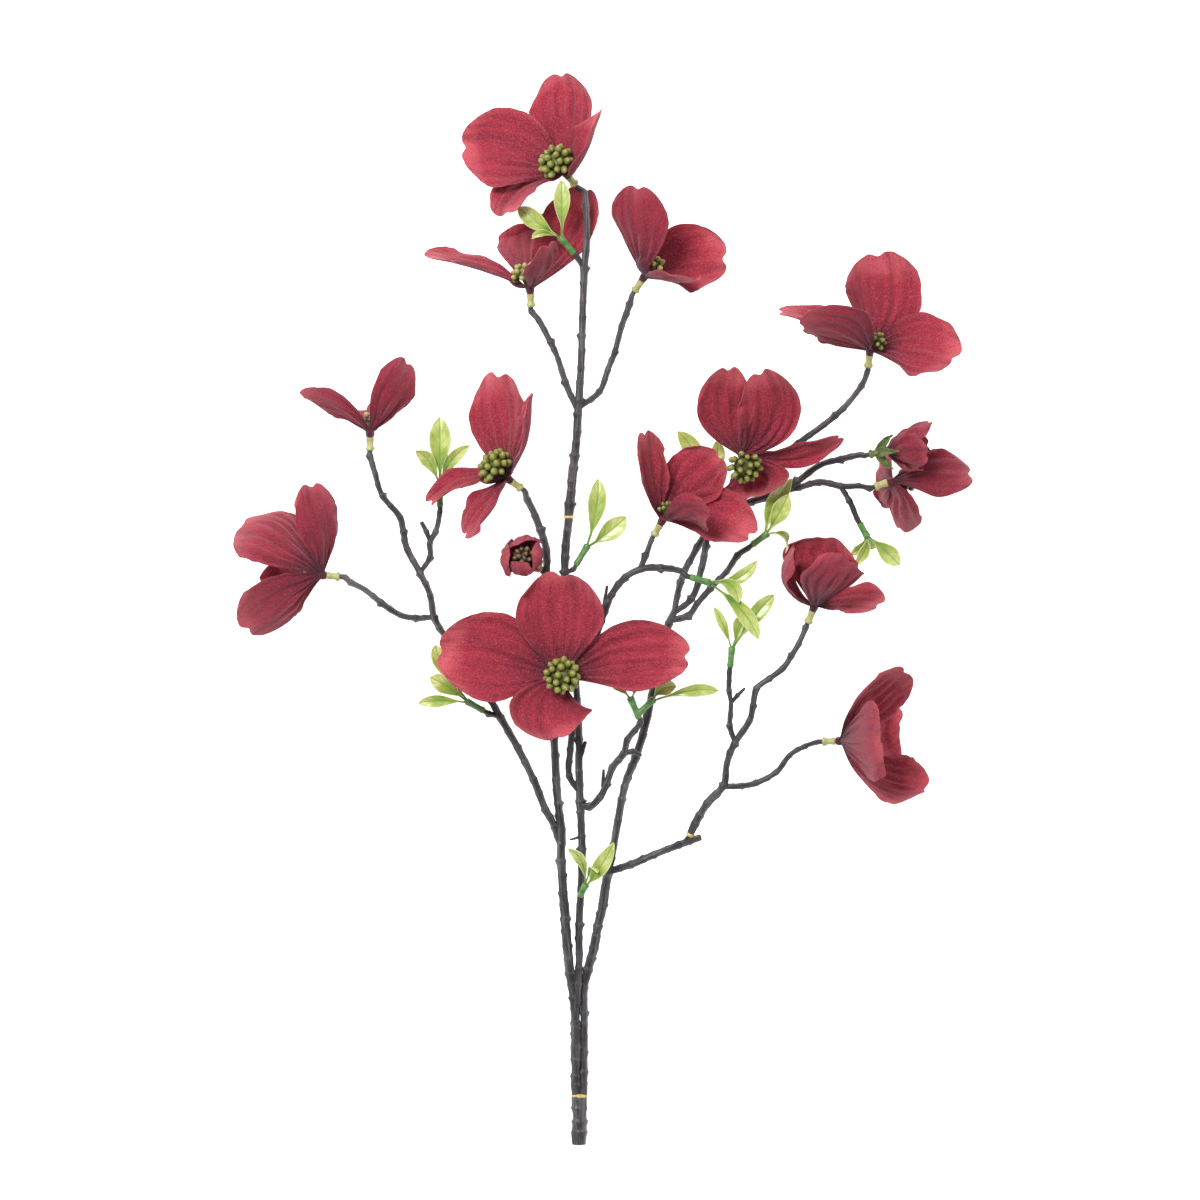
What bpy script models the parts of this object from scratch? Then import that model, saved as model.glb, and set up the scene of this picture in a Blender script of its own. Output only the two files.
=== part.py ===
"""Dogwood flower branch: a long artificial spray, laid down on a table.

X runs across the spray, +Y runs from the cut end to the top bloom, and +Z points up from the
table. The origin is on the table, in the middle of the spray. Tables below are in millimetres.

A dark moulded stem forks into three limbs. They carry fourteen crimson blooms, one closed bud
and eleven leafy sprigs. Each bloom is four fabric petals on a small hub, a head of green buds
that stands on the hub, and a pale sleeve that joins the hub to its twig.
"""

import math

import bmesh
import bpy
from mathutils import Matrix, Vector

# Driving dimensions, in millimetres
MM = 0.001
PETAL_THICK = 0.7
LEAF_THICK = 0.65
GAP = 0.3
HUB_RADIUS = 2.0
HUB_TOP_RADIUS = 1.6
HUB_BELOW = 2.0
HUB_ABOVE = 2.3
SLEEVE_LENGTH = 6.5
SLEEVE_RADIUS = 1.9
SLEEVE_COLLAR = 2.3
SOCKET_RADIUS = 1.7
TWIG_RADIUS = 1.3
SQUARE_END = 2.0
RING_SWELL = 1.16
RING_PINCH = 0.93

# Grid of a blade: strips across a narrow petal, a wide petal and a leaf, and strips along a leaf
NARROW_PETAL = 23
NARROW_STRIPS = 2
WIDE_STRIPS = 4
LEAF_STRIPS = (2, 4)

# Strips along a petal: about one in this length, and never fewer or more than these
STRIP_LENGTH = 10
FEWEST_STRIPS = 3
MOST_STRIPS = 5
ROOT_CROWDING = 1.25

# A petal that rests on the table is pressed flat where it comes this near
PRESSED_FLAT = 0.3

# A bud of a head: its radius as a share of the head's, its sides, and in shares of its own radius
# its length and how far its belly is sunk
BUD_SHARE = 0.3
BUD_SIDES = 4
BUD_STRETCH = 1.5
BUD_SUNK = 0.5

# How far the middle of a petal stays from the tips of the buds
HEAD_CLEARANCE = 1.6

# Where the petals of a bloom leave its hub, one fabric cross above the other
CROSS_LEVELS = (0.5, 1.1)

CRIMSON = (0.42, 0.035, 0.06, 1.0)
BUD_GREEN = (0.16, 0.19, 0.04, 1.0)
SLEEVE_GREEN = (0.40, 0.40, 0.15, 1.0)
LEAF_GREEN = (0.36, 0.52, 0.05, 1.0)
BARK = (0.065, 0.055, 0.06, 1.0)


class Petal:
    """One fabric petal: a strip bent along a curve from the hub through `via` to `tip`.

    roll is how far each long edge is rolled towards the inner face, in degrees; turn tilts the
    whole petal about its midrib and twist adds more of that towards the tip.
    """

    def __init__(self, via, tip, width, roll=28, turn=0, twist=0, notch=0.045, wave=1.3):
        self.via = Vector(via)
        self.tip = Vector(tip)
        self.width = width
        self.roll = math.radians(roll)
        self.turn = math.radians(turn)
        self.twist = math.radians(twist)
        self.notch = notch
        self.wave = wave


class Bloom:
    """A bloom: where its hub is, the way it faces, how its twig arrives, its head and petals."""

    def __init__(self, hub, faces, twig, head, petals):
        self.hub = Vector(hub)
        self.faces = Vector(faces).normalized()
        self.twig = Vector(twig).normalized()
        self.head_radius, self.head_depth, self.head_height, self.head_buds = head
        self.petals = petals

    def head_centre(self):
        return self.hub + self.faces * self.head_height

    def bud_radius(self):
        return BUD_SHARE * self.head_radius

    def twig_end(self):
        """Where the bark stops, a gap short of the sleeve, and the way it points there."""
        return self.hub - self.twig * (HUB_BELOW + GAP + SLEEVE_LENGTH + GAP), self.twig


# Heads: radius, half depth, height of the middle over the hub, number of buds
WIDE_HEAD = (7.0, 5.0, 10.0, 12)
MIDDLE_HEAD = (5.0, 4.0, 8.5, 8)
SMALL_HEAD = (3.4, 3.0, 7.0, 6)
TUCKED_HEAD = (2.6, 2.4, 6.4, 6)
STAMENS = (4.2, 3.2, 9.0, 8)

BLOOMS = {
    "bloom_01": Bloom((-20, 219, 40), (-0.5, 0.55, 0.67), (-0.5, 0.6, 0.6), WIDE_HEAD, [
        Petal((-20, 246, 31), (-23, 270, 31), 38),
        Petal((-46, 229, 32), (-73, 232, 30), 47),
        Petal((-41, 211, 42), (-50, 198, 50), 32, turn=24, twist=-12),
        Petal((-12, 227, 50), (-3, 250, 62), 26, roll=60),
    ]),
    "bloom_02": Bloom((-38, 161, 40), (-0.38, 0.9, 0.2), (-0.05, 0.97, 0.2), MIDDLE_HEAD, [
        Petal((-64, 172, 38), (-91, 178, 41), 34, roll=28, turn=10),
        Petal((-40, 184, 14), (-42, 196, -14), 30),
        Petal((-22, 187, 27), (-10, 213, 20), 30, turn=45),
        Petal((-31, 171, 57), (-30, 183, 68), 24),
    ]),
    "bloom_03": Bloom((19, 167, 42), (0.4, 0.8, 0.3), (0.5, 0.75, 0.2), MIDDLE_HEAD, [
        Petal((16, 190, 58), (16, 212, 66), 32, turn=15, twist=40),
        Petal((38, 175, 33), (61, 176, 40), 38, turn=30),
        Petal((32, 165, 58), (43, 163, 70), 26),
        Petal((16, 188, 16), (19, 203, -14), 28),
    ]),
    "bloom_04": Bloom((132, 130, 46), (0.53, 0.7, 0.45), (0.1, 0.9, 0.4), SMALL_HEAD, [
        Petal((136, 155, 34), (136, 180, 36), 48),
        Petal((154, 131, 44), (175, 126, 52), 40, turn=20),
        Petal((116, 138, 61), (97, 142, 62), 44, turn=64),
        Petal((110, 143, 38), (86, 149, 36), 28),
    ]),
    "bloom_05": Bloom((140, 80, 50), (0.95, 0.25, 0.15), (0.95, 0.2, 0.1), SMALL_HEAD, [
        Petal((149, 89, 55), (162, 94, 52), 20, roll=50),
        Petal((149, 78, 60), (161, 78, 60), 22, roll=50),
        Petal((149, 82, 40), (162, 83, 40), 20, roll=50),
        Petal((148, 73, 46), (159, 72, 48), 18, roll=50),
    ]),
    "bloom_06": Bloom((143, 65, 36), (0.75, -0.1, -0.65), (0.93, 0.3, 0), MIDDLE_HEAD, [
        Petal((164, 70, 42), (185, 69, 30), 26),
        Petal((147, 54, 30), (149, 41, 10), 24),
        Petal((140, 62, 15), (136, 59, -12), 20),
        Petal((139, 71, 20), (138, 75, 4), 20),
    ]),
    "bloom_07": Bloom((68, 78, 52), (0.1, -0.6, 0.8), (0.1, -0.2, 0.97), WIDE_HEAD, [
        Petal((60, 99, 58), (61, 122, 72), 30),
        Petal((80, 97, 56), (76, 120, 70), 34),
        Petal((94, 79, 52), (118, 88, 62), 17, roll=60),
        Petal((75, 65, 49), (73, 56, 54), 38),
    ]),
    "bloom_08": Bloom((28, 45, 60), (0.35, 0.75, 0.5), (0.45, 0.8, 0.3), SMALL_HEAD, [
        Petal((22, 66, 64), (19, 90, 70), 26),
        Petal((43, 64, 48), (57, 78, 52), 33),
        Petal((41, 47, 72), (51, 45, 78), 27, turn=-12, twist=-60),
        Petal((52, 48, 54), (73, 37, 58), 30, turn=40),
    ]),
    "bloom_09": Bloom((-49, 66, 52), (-0.62, 0.62, 0.45), (-0.75, 0.55, 0.35), WIDE_HEAD, [
        Petal((-51, 93, 42), (-53, 120, 46), 38),
        Petal((-40, 87, 66), (-36, 109, 72), 32),
        Petal((-69, 66, 51), (-89, 54, 58), 17),
        Petal((-60, 53, 60), (-70, 37, 58), 27),
    ]),
    "bloom_10": Bloom((-118, 89, 44), (0, 0.85, -0.4), (0, 1, 0.05), SMALL_HEAD, [
        Petal((-133, 101, 47), (-153, 108, 34), 19),
        Petal((-106, 107, 50), (-98, 126, 40), 26),
        Petal((-124, 97, 22), (-131, 103, 4), 18),
        Petal((-112, 100, 20), (-106, 107, 4), 18),
    ]),
    "bloom_11": Bloom((-142, 18, 38), (-0.85, 0.05, -0.4), (-0.95, 0.1, 0), TUCKED_HEAD, [
        Petal((-142, 43, 45), (-148, 64, 36), 28, turn=-24),
        Petal((-163, 38, 42), (-184, 44, 26), 46),
        Petal((-162, 5, 42), (-181, -10, 24), 34),
        Petal((-156, 16, 12), (-176, 14, -14), 26),
    ]),
    "bloom_12": Bloom((-22, -33, 56), (0, 0.08, 1), (-0.05, -0.2, 0.98), WIDE_HEAD, [
        Petal((-53, -24, 58), (-84, -20, 66), 47),
        Petal((-23, -5, 59), (-22, 20, 68), 46),
        Petal((11, -23, 57), (42, -23, 64), 37),
        Petal((-28, -49, 59), (-24, -64, 66), 44, roll=34),
    ]),
    "bloom_13": Bloom((104, 2, 46), (0.1, 0.9, 0.35), (0.35, 0.9, 0.25), SMALL_HEAD, [
        Petal((113, 14, 70), (122, 25, 78), 36),
        Petal((107, 23, 30), (110, 38, 36), 40),
        Petal((89, 16, 50), (94, 33, 54), 34),
        Petal((120, 3, 44), (137, 3, 54), 34),
    ]),
    "bloom_14": Bloom((117, -65, 42), (0.95, 0.05, 0.15), (1, 0.05, 0.1), SMALL_HEAD, [
        Petal((132, -43, 42), (151, -30, 48), 42, roll=36, turn=-22),
        Petal((134, -62, 14), (149, -56, -14), 36),
        Petal((127, -65, 70), (137, -64, 84), 42),
        Petal((138, -85, 40), (161, -88, 48), 44, turn=18),
    ]),
}

# The closed bud is built like a bloom whose petals bend inwards
BUD = Bloom((-37, 23, 57), (-0.42, 0.42, 0.8), (-0.4, 0.2, 0.9), STAMENS, [
    Petal((-40.5, 36, 60), (-42.5, 34, 67.5), 22, roll=52, notch=0.0, wave=0.3),
    Petal((-51.5, 25.5, 60), (-48.2, 29, 67), 24, roll=52, notch=0.0, wave=0.3),
    Petal((-42, 18, 65), (-43, 24.6, 70.5), 22, roll=52, notch=0.0, wave=0.3),
    Petal((-31.6, 27, 67), (-36.8, 29.5, 70.5), 24, roll=52, notch=0.0, wave=0.3),
])


class Leaf:
    """One leaf of a sprig, from the socket through `via` to `tip`."""

    def __init__(self, via, tip, width, turn=0, roll=35):
        self.via = Vector(via)
        self.tip = Vector(tip)
        self.width = width
        self.turn = math.radians(turn)
        self.roll = math.radians(roll)


# The half-open bloom has four pointed sepals that stand out from the top of its sleeve
SEPALS = {
    "bloom_05": [
        Leaf((139.5, 85, 52.5), (143.5, 88, 54), 5.0),
        Leaf((139.5, 73.8, 50), (143.5, 71, 50), 5.0),
        Leaf((140, 79.5, 57), (146, 79.5, 61.5), 5.5),
        Leaf((139.5, 80, 43), (143.5, 80, 40), 5.0),
    ],
}


class Sprig:
    """A leafy sprig: one or two green sockets, each with its leaves."""

    def __init__(self, *stalks):
        self.stalks = [(Vector(root), Vector(top), leaves) for root, top, leaves in stalks]

    def twig_end(self):
        """Where the bark stops, a gap short of the first socket, and the way it points there."""
        root, top, _ = self.stalks[0]
        way = (top - root).normalized()
        return root - way * GAP, way


SPRIGS = {
    "leaf_sprig_01": Sprig(((-16, 179, 41), (-23, 187, 44), [
        Leaf((-22, 202, 46), (-22, 215, 44), 9),
        Leaf((-34, 194, 45), (-44, 202, 42), 10),
        Leaf((-31, 189, 48), (-37, 186, 48), 4),
    ])),
    "leaf_sprig_02": Sprig(((-83, 52, 46), (-83, 63, 46), [
        Leaf((-83, 81, 46), (-83, 97, 44), 12),
        Leaf((-88, 74, 48), (-95, 80, 52), 8),
        Leaf((-78, 74, 45), (-68, 83, 48), 7),
    ])),
    "leaf_sprig_03": Sprig(((-15, 23, 49), (-9, 33, 50), [
        Leaf((-5, 50, 51), (-4, 66, 50), 10),
        Leaf((1, 39, 52), (10, 47, 50), 11),
    ])),
    "leaf_sprig_04": Sprig(((-61, -50, 42), (-70, -45, 43), [
        Leaf((-82, -45, 44), (-94, -46, 44), 7),
        Leaf((-79, -38, 46), (-88, -33, 46), 10),
        Leaf((-81, -28, 44), (-85, -17, 44), 9),
    ])),
    "leaf_sprig_05": Sprig(
        ((16.5, -53.5, 47.5), (12, -43, 50), [
            Leaf((7, -38, 51), (3, -35, 50), 6),
            Leaf((15, -38, 52), (16, -34, 53), 4),
        ]),
        ((15.9, -51.5, 48), (24, -44, 50), [
            Leaf((28, -39, 51), (35, -38, 50), 9),
            Leaf((42, -40, 51), (56, -40, 50), 7),
        ]),
    ),
    "leaf_sprig_06": Sprig(((54.6, 57.7, 41.2), (53, 66, 39.5), [
        Leaf((45, 79, 36), (36, 90, 36), 10),
        Leaf((56, 76, 36), (55, 85, 36), 8),
    ])),
    "leaf_sprig_07": Sprig(((73, 33, 46), (81, 39, 47), [
        Leaf((86, 48, 50), (91, 58, 52), 10),
        Leaf((83, 51, 48), (93, 66, 46), 10),
        Leaf((89, 38, 44), (90, 29, 36), 5),
    ])),
    "leaf_sprig_08": Sprig(((127, 44, 36), (131, 37, 35), [
        Leaf((140, 30, 36), (147, 23, 36), 10),
        Leaf((128, 32, 30), (123, 29, 28), 6),
        Leaf((130, 31, 34), (125, 23, 32), 6),
        Leaf((133, 34, 28), (133, 31, 24), 8),
    ])),
    "leaf_sprig_09": Sprig(((42, 17, 59), (52, 14, 58), [
        Leaf((65, 16, 57), (75, 25, 58), 7),
        Leaf((62, 13, 60), (66, 4, 60), 8),
        Leaf((67, 1, 58), (76, -14, 58), 9),
    ])),
    "leaf_sprig_10": Sprig(((62, -28, 47), (63, -18, 48), [
        Leaf((59, -8, 49), (54, 2, 50), 5),
        Leaf((67, -9, 46), (70, -3, 44), 10),
        Leaf((74, -3, 50), (84, 8, 48), 9),
    ])),
    "leaf_sprig_11": Sprig(((-13, -143, 31), (-10, -137, 34), [
        Leaf((-12, -126, 38), (-19, -119, 42), 6),
        Leaf((-4, -130, 39), (4, -116, 42), 9),
        Leaf((-7, -129, 38), (-4, -131, 42), 5),
    ])),
}

# Each stretch of bark is a list of joints (x, y, z, radius); a name ends it at that bloom or sprig
FOOT = [(-13.5, -269, 3.12, 3.6), (-13.5, -257, 3.8, 3.6), (-13.3, -244.6, 5.0, 3.7)]

MAIN_BRANCH = {
    "left_limb": [
        (-15.2, -244, 5.6, 2.0), (-15.2, -234, 6.6, 2.5), (-15, -219, 9, 2.6), (-15.5, -207, 11.5, 2.4),
        (-16, -194, 14, 2.5), (-18, -182, 17, 2.4), (-19.5, -168, 20.5, 2.4), (-20.5, -154, 24, 2.4),
        (-21.5, -141, 27, 2.3), (-22.5, -125, 31, 2.2), (-22.5, -109, 34, 2.2), (-24, -96, 36, 2.1),
        (-25, -84, 38, 2.1), (-26, -62, 41, 2.0), (-27, -46, 42, 1.9), (-28, -29, 43, 1.9),
        (-29, -8, 44, 1.9), (-29.5, 18, 46, 1.8), (-30, 31, 47, 1.8), (-33, 41, 48, 1.8),
        (-35.5, 48, 48, 1.8), (-39.5, 56, 48, 1.7), "bloom_09",
    ],
    "middle_limb": [
        (-15, -206, 11.5, 1.5), (-14, -187, 17, 1.9), (-13.5, -172, 20, 1.9), (-13.5, -157, 24, 1.8),
        (-12.5, -139, 28, 1.8), (-12, -119, 32, 1.9), (-12.5, -107, 34, 1.9), (-13, -95, 36, 2.0),
        (-13.5, -80, 38, 1.9), (-13.5, -64, 40, 1.9), (-14.5, -44, 42, 1.8), (-16, -24, 44, 1.8),
        (-19, -4, 46, 1.9), (-20.5, 20, 48, 1.9), (-20, 33, 48, 2.1), (-18.6, 46.6, 48, 2.2),
    ],
    "right_limb": [
        (-11.4, -244, 5.6, 1.9), (-11.2, -232, 6.6, 2.0), (-11, -214, 9.5, 1.9), (-11, -202, 12, 1.8),
        (-11, -189, 14, 2.0), (-9, -180, 16.5, 2.3), (-6, -169, 19, 2.3), (-4, -158, 21.5, 2.2),
        (-1.5, -147, 24, 2.3), (1, -131, 27, 2.3), (4, -117, 30, 2.0), (8, -94, 33, 2.0),
        (11, -83, 34, 2.0), (15, -73, 35, 2.0), (21, -52, 36, 1.9), (24.5, -34, 37, 1.9),
        (28.5, -19, 38, 1.9), (31.5, -6, 39, 1.9), (34.5, 0, 39.5, 1.8),
    ],
    "back_left_limb": [
        (-22.7, -118, 32.5, 1.6), (-26, -108, 34, 1.9), (-30.5, -99, 35, 1.9), (-36.5, -84, 37, 1.8),
        (-44.5, -68, 39, 1.8), (-53, -53, 41, 1.8), (-58, -44, 42, 1.7), (-68, -29, 43, 1.7),
        (-79.5, -14, 44, 1.7), (-86, -3, 44, 1.8), (-88, 8, 44, 1.6), (-93, 19, 44, 1.7),
        (-99.5, 31, 44, 1.6), (-101.5, 40, 44, 1.6), (-103, 47, 44, 1.6), (-112, 58, 44, 1.5),
        (-115.5, 69, 44, 1.5), "bloom_10",
    ],
    "twig_to_bloom_11": [
        (-86, -3, 44, 1.4), (-95.5, -3.5, 43, 1.6), (-103, -2, 42, 1.5), (-113, 4.5, 41, 1.6),
        (-120.5, 10.5, 40, 1.4), (-128, 14.5, 39, 1.5), "bloom_11",
    ],
    "twig_to_sprig_02": [
        (-93, 19, 44, 1.2), (-88, 27, 45, 1.4), (-88, 34, 45, 1.4), (-85, 40, 46, 1.4),
        "leaf_sprig_02",
    ],
    "stub_on_sprig_02": [(-88, 35, 45, 1.1), (-90, 40, 46, 1.2), (-92, 44, 46, 1.1)],
    "twig_to_sprig_04": [(-53, -53, 41, 1.2), "leaf_sprig_04"],
    "twig_to_bud": [(-29.5, 17, 46, 1.2), "bud"],
    "twig_to_bloom_12": [
        (-13.2, -91, 36.5, 1.4), (-18.5, -82, 39, 1.5), (-17.8, -69, 42, 1.6), (-17, -55, 44, 1.5),
        (-19.5, -42, 45, 1.5), "bloom_12",
    ],
    "twig_to_sprig_03": [(-20.5, 19, 48, 1.2), "leaf_sprig_03"],
    "twig_to_sprig_05": [
        (-13, -97, 36, 1.6), (-8, -98, 38, 1.7), (-3, -93, 40, 1.8), (0.5, -86, 42, 1.7),
        (3.5, -78, 43, 1.8), (9, -71, 45, 1.7), (11, -64, 46, 1.7), "leaf_sprig_05",
    ],
    "stub_on_sprig_05": [(9.5, -71, 45, 1.2), (13.5, -70.5, 45, 1.2), (17, -72, 43, 1.2)],
    "twig_a_to_bloom_05": [
        (34, -1, 39.4, 1.4), (37.5, 15, 36, 1.7), (42, 25, 33, 1.8), (50, 38, 31, 1.8),
        (66, 52, 33, 1.9), (80, 57, 36, 1.8), (88, 60, 38, 1.9), (96, 65, 41, 1.7),
        (107, 73, 44, 1.6), (118, 76, 46, 1.5), (127, 78, 48, 1.4), "bloom_05",
    ],
    "twig_to_bloom_06": [
        (87, 60, 38, 1.3), (97, 62, 38, 1.6), (107, 64.5, 38, 1.6), (118, 62.5, 37, 1.5),
        (127, 62.5, 36.3, 1.3), "bloom_06",
    ],
    "twig_to_sprig_08": [(117, 62.8, 37, 1.2), (122, 55, 37, 1.4), "leaf_sprig_08"],
    "twig_b_to_bloom_04": [
        (34, -1, 39.4, 1.4), (43, 6.5, 41, 1.6), (48, 22, 42, 1.7), (50, 33, 42, 1.6),
        (53, 45.5, 42, 1.6), (64.5, 65, 42, 1.6), (77, 72.5, 41, 1.5), (89.5, 79.5, 42, 1.6),
        (102, 88, 42, 1.5), (115, 98, 42, 1.6), (122, 105, 42, 1.4), (128, 113, 42, 1.5),
        "bloom_04",
    ],
    "twig_to_bloom_07": [(66.5, 66.5, 42, 1.2), (67.5, 74, 42, 1.3), "bloom_07"],
    "twig_to_sprig_06": [(56.5, 51, 42, 1.1), "leaf_sprig_06"],
    "twig_c_to_sprig_07": [
        (32, -5, 39, 1.4), (41.5, -2, 41, 1.7), (46, 4, 42, 1.5), (52.5, 11.5, 43, 1.6),
        (60.5, 20, 44, 1.5), (66, 28, 45, 1.5), "leaf_sprig_07",
    ],
    "lower_right_twig": [
        (1, -131, 27, 1.8), (13, -127, 29, 1.9), (24.5, -122, 31, 2.0), (37, -117, 33, 1.8),
        (47, -113.5, 34, 1.9),
    ],
    "plug_peg": [(38.5, -116.7, 33.2, 1.1), (42, -112.3, 35, 1.2)],
    "arching_twig": [
        (-14.8, -31, 43, 1.4), (-9, -22, 46, 1.7), (-4, -10, 50, 1.7), (-0.5, 0, 54, 1.8),
        (3, 8.5, 56, 1.7), (10, 17, 58, 1.8), (18, 21, 59, 1.8), (28, 21.5, 60, 1.7),
        (37, 20, 59, 1.5), "leaf_sprig_09",
    ],
    "twig_to_bloom_08": [(17, 21, 59, 1.3), (20, 28, 58.5, 1.5), "bloom_08"],
    "thorn": [(-12, -113, 33, 0.9), (-17.5, -114.5, 34, 0.5)],
    "bud_scar_1": [(-13.3, -75, 39, 1.2), (-10.5, -66, 41, 1.0)],
    "bud_scar_2": [(-1.5, 0, 54, 1.0), (0.5, 12, 56, 0.7)],
    "bud_scar_3": [(-1.5, -88, 41, 1.0), (-1.2, -80, 42, 0.7)],
}

TOP_BRANCH = {
    "top_limb": [
        (-18.5, 47.4, 48, 2.4), (-18, 54, 48, 2.3), (-17, 65, 48, 2.2), (-15.5, 78, 47.5, 2.1),
        (-14.5, 90, 47, 2.2), (-13.5, 106, 46, 2.0), (-12.5, 122, 44.5, 1.8), (-12, 138, 43, 1.8),
        (-11.5, 155, 41, 1.7), (-10.8, 172, 39, 1.8), (-9.5, 188, 37, 1.6), (-10, 203, 34.5, 1.6),
        (-11, 210, 33, 1.4), "bloom_01",
    ],
    "twig_to_bloom_02": [
        (-14, 99, 46.5, 1.4), (-20.5, 115, 45, 1.6), (-24, 126, 43.5, 1.5), (-28, 135, 42, 1.6),
        (-34, 146, 39, 1.5), "bloom_02",
    ],
    "twig_to_bloom_03": [
        (-13, 102, 46, 1.4), (-3, 110, 45, 1.6), (1, 121, 44, 1.5), (4.5, 130, 43, 1.6),
        (8, 143, 41.5, 1.5), (12, 154, 40, 1.6), "bloom_03",
    ],
    "twig_to_sprig_01": [(-11, 171, 39, 1.2), "leaf_sprig_01"],
}

RIGHT_BRANCH = {
    "right_spray": [
        (42.4, -111.4, 35.5, 2.0), (47, -102, 37, 2.0), (51, -96, 38, 2.0), (59, -87, 39, 1.8),
        (60.5, -76, 41, 1.7), (64.5, -66, 43, 1.7), (72, -54.5, 44, 1.6), (73.5, -47, 45, 1.5),
        (75.5, -38.5, 46, 1.6), (82, -33.5, 46, 1.4), (88.5, -28.5, 46, 1.5), (93, -22, 45, 1.4),
        (96.5, -16, 44, 1.4), "bloom_13",
    ],
    "twig_to_bloom_14": [
        (58, -88, 39, 1.4), (68.5, -87.5, 39, 1.5), (75.5, -86, 39.5, 1.6), (85.5, -80.5, 40, 1.4),
        (92, -72, 41, 1.4), (100, -67.5, 41, 1.3), "bloom_14",
    ],
    "twig_to_sprig_10": [
        (64.5, -66, 43, 1.1), (62, -57, 44, 1.3), (62.5, -47, 45, 1.2), (61.5, -39.5, 46, 1.3),
        "leaf_sprig_10",
    ],
    "stub_on_sprig_10": [(62.5, -46, 45, 0.9), (66, -42, 46, 1.0), (69, -39, 46, 0.8)],
}


def clear_scene():
    for old in list(bpy.data.objects):
        bpy.data.objects.remove(old)


def collection_named(name):
    made = bpy.data.collections.new(name)
    bpy.context.scene.collection.children.link(made)
    return made


def plain_material(name, colour, roughness):
    """A Principled material: all of this object is fabric or moulded plastic, so nothing is metal."""
    made = bpy.data.materials.new(name)
    made.use_nodes = True
    shader = made.node_tree.nodes["Principled BSDF"]
    shader.inputs["Base Color"].default_value = colour
    shader.inputs["Roughness"].default_value = roughness
    shader.inputs["Metallic"].default_value = 0.0
    return made


def object_from(name, shape):
    """Make an object from a bmesh whose points are in millimetres."""
    bmesh.ops.scale(shape, vec=(MM, MM, MM), verts=shape.verts)
    bmesh.ops.recalc_face_normals(shape, faces=shape.faces)
    mesh = bpy.data.meshes.new(name)
    shape.to_mesh(mesh)
    shape.free()
    made = bpy.data.objects.new(name, mesh)
    bpy.context.scene.collection.objects.link(made)
    return made


def evaluated_mesh(thing):
    bpy.context.view_layer.update()
    graph = bpy.context.evaluated_depsgraph_get()
    return bpy.data.meshes.new_from_object(thing.evaluated_get(graph), depsgraph=graph)


def keep_largest_body(mesh):
    """Drop loose scraps and fill sealed hollows: only the body that reaches farthest stays."""
    shape = bmesh.new()
    shape.from_mesh(mesh)
    left = set(shape.faces)
    bodies = []
    while left:
        reached = [left.pop()]
        body = set(reached)
        while reached:
            for edge in reached.pop().edges:
                for face in edge.link_faces:
                    if face in left:
                        left.remove(face)
                        body.add(face)
                        reached.append(face)
        bodies.append(body)

    def extent(body):
        corners = [corner.co for face in body for corner in face.verts]
        return sum(max(c[i] for c in corners) - min(c[i] for c in corners) for i in range(3))

    largest = max(bodies, key=extent)
    spare = [face for body in bodies if body is not largest for face in body]
    if spare:
        bmesh.ops.delete(shape, geom=spare, context="FACES")
    bmesh.ops.triangulate(shape, faces=shape.faces)
    closed = all(len(edge.link_faces) == 2 for edge in shape.edges)
    shape.to_mesh(mesh)
    shape.free()
    return closed


def fuse(name, pieces, finish, home):
    """Join the pieces in one closed body with a Boolean union, and put it in the home collection."""
    base, others = pieces[0], pieces[1:]
    if others:
        gathered = bpy.data.collections.new(name + "_pieces")
        for piece in others:
            gathered.objects.link(piece)
        union = base.modifiers.new("Union", "BOOLEAN")
        union.operation = "UNION"
        union.operand_type = "COLLECTION"
        union.collection = gathered
        union.solver = "MANIFOLD"
    mesh = evaluated_mesh(base)
    if not keep_largest_body(mesh) and others:
        union.solver = "EXACT"
        mesh = evaluated_mesh(base)
        keep_largest_body(mesh)
    for piece in pieces:
        bpy.data.objects.remove(piece)
    if others:
        bpy.data.collections.remove(gathered)
    mesh.name = name
    mesh.materials.clear()
    mesh.materials.append(finish)
    joined = bpy.data.objects.new(name, mesh)
    home.objects.link(joined)
    return joined


def frame_along(direction):
    """A rotation that takes +Z to the given direction."""
    return direction.to_track_quat("Z", "Y").to_matrix().to_4x4()


def frustum(start, end, radius_start, radius_end, sides):
    """A closed cone piece between two points."""
    shape = bmesh.new()
    axis = end - start
    bmesh.ops.create_cone(shape, cap_ends=True, cap_tris=True, segments=sides, radius1=radius_start,
                          radius2=radius_end, depth=axis.length)
    place = Matrix.Translation((start + end) / 2) @ frame_along(axis)
    bmesh.ops.transform(shape, matrix=place, verts=shape.verts)
    return object_from("piece", shape)


def bud(belly, direction, radius):
    """A small closed bud: a ring round its belly that tapers to a root and to a tip."""
    shape = bmesh.new()
    bmesh.ops.create_uvsphere(shape, u_segments=BUD_SIDES, v_segments=2, radius=radius)
    place = Matrix.Translation(belly) @ frame_along(direction) @ Matrix.Diagonal((1, 1, BUD_STRETCH, 1))
    bmesh.ops.transform(shape, matrix=place, verts=shape.verts)
    return object_from("bud", shape)


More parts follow.
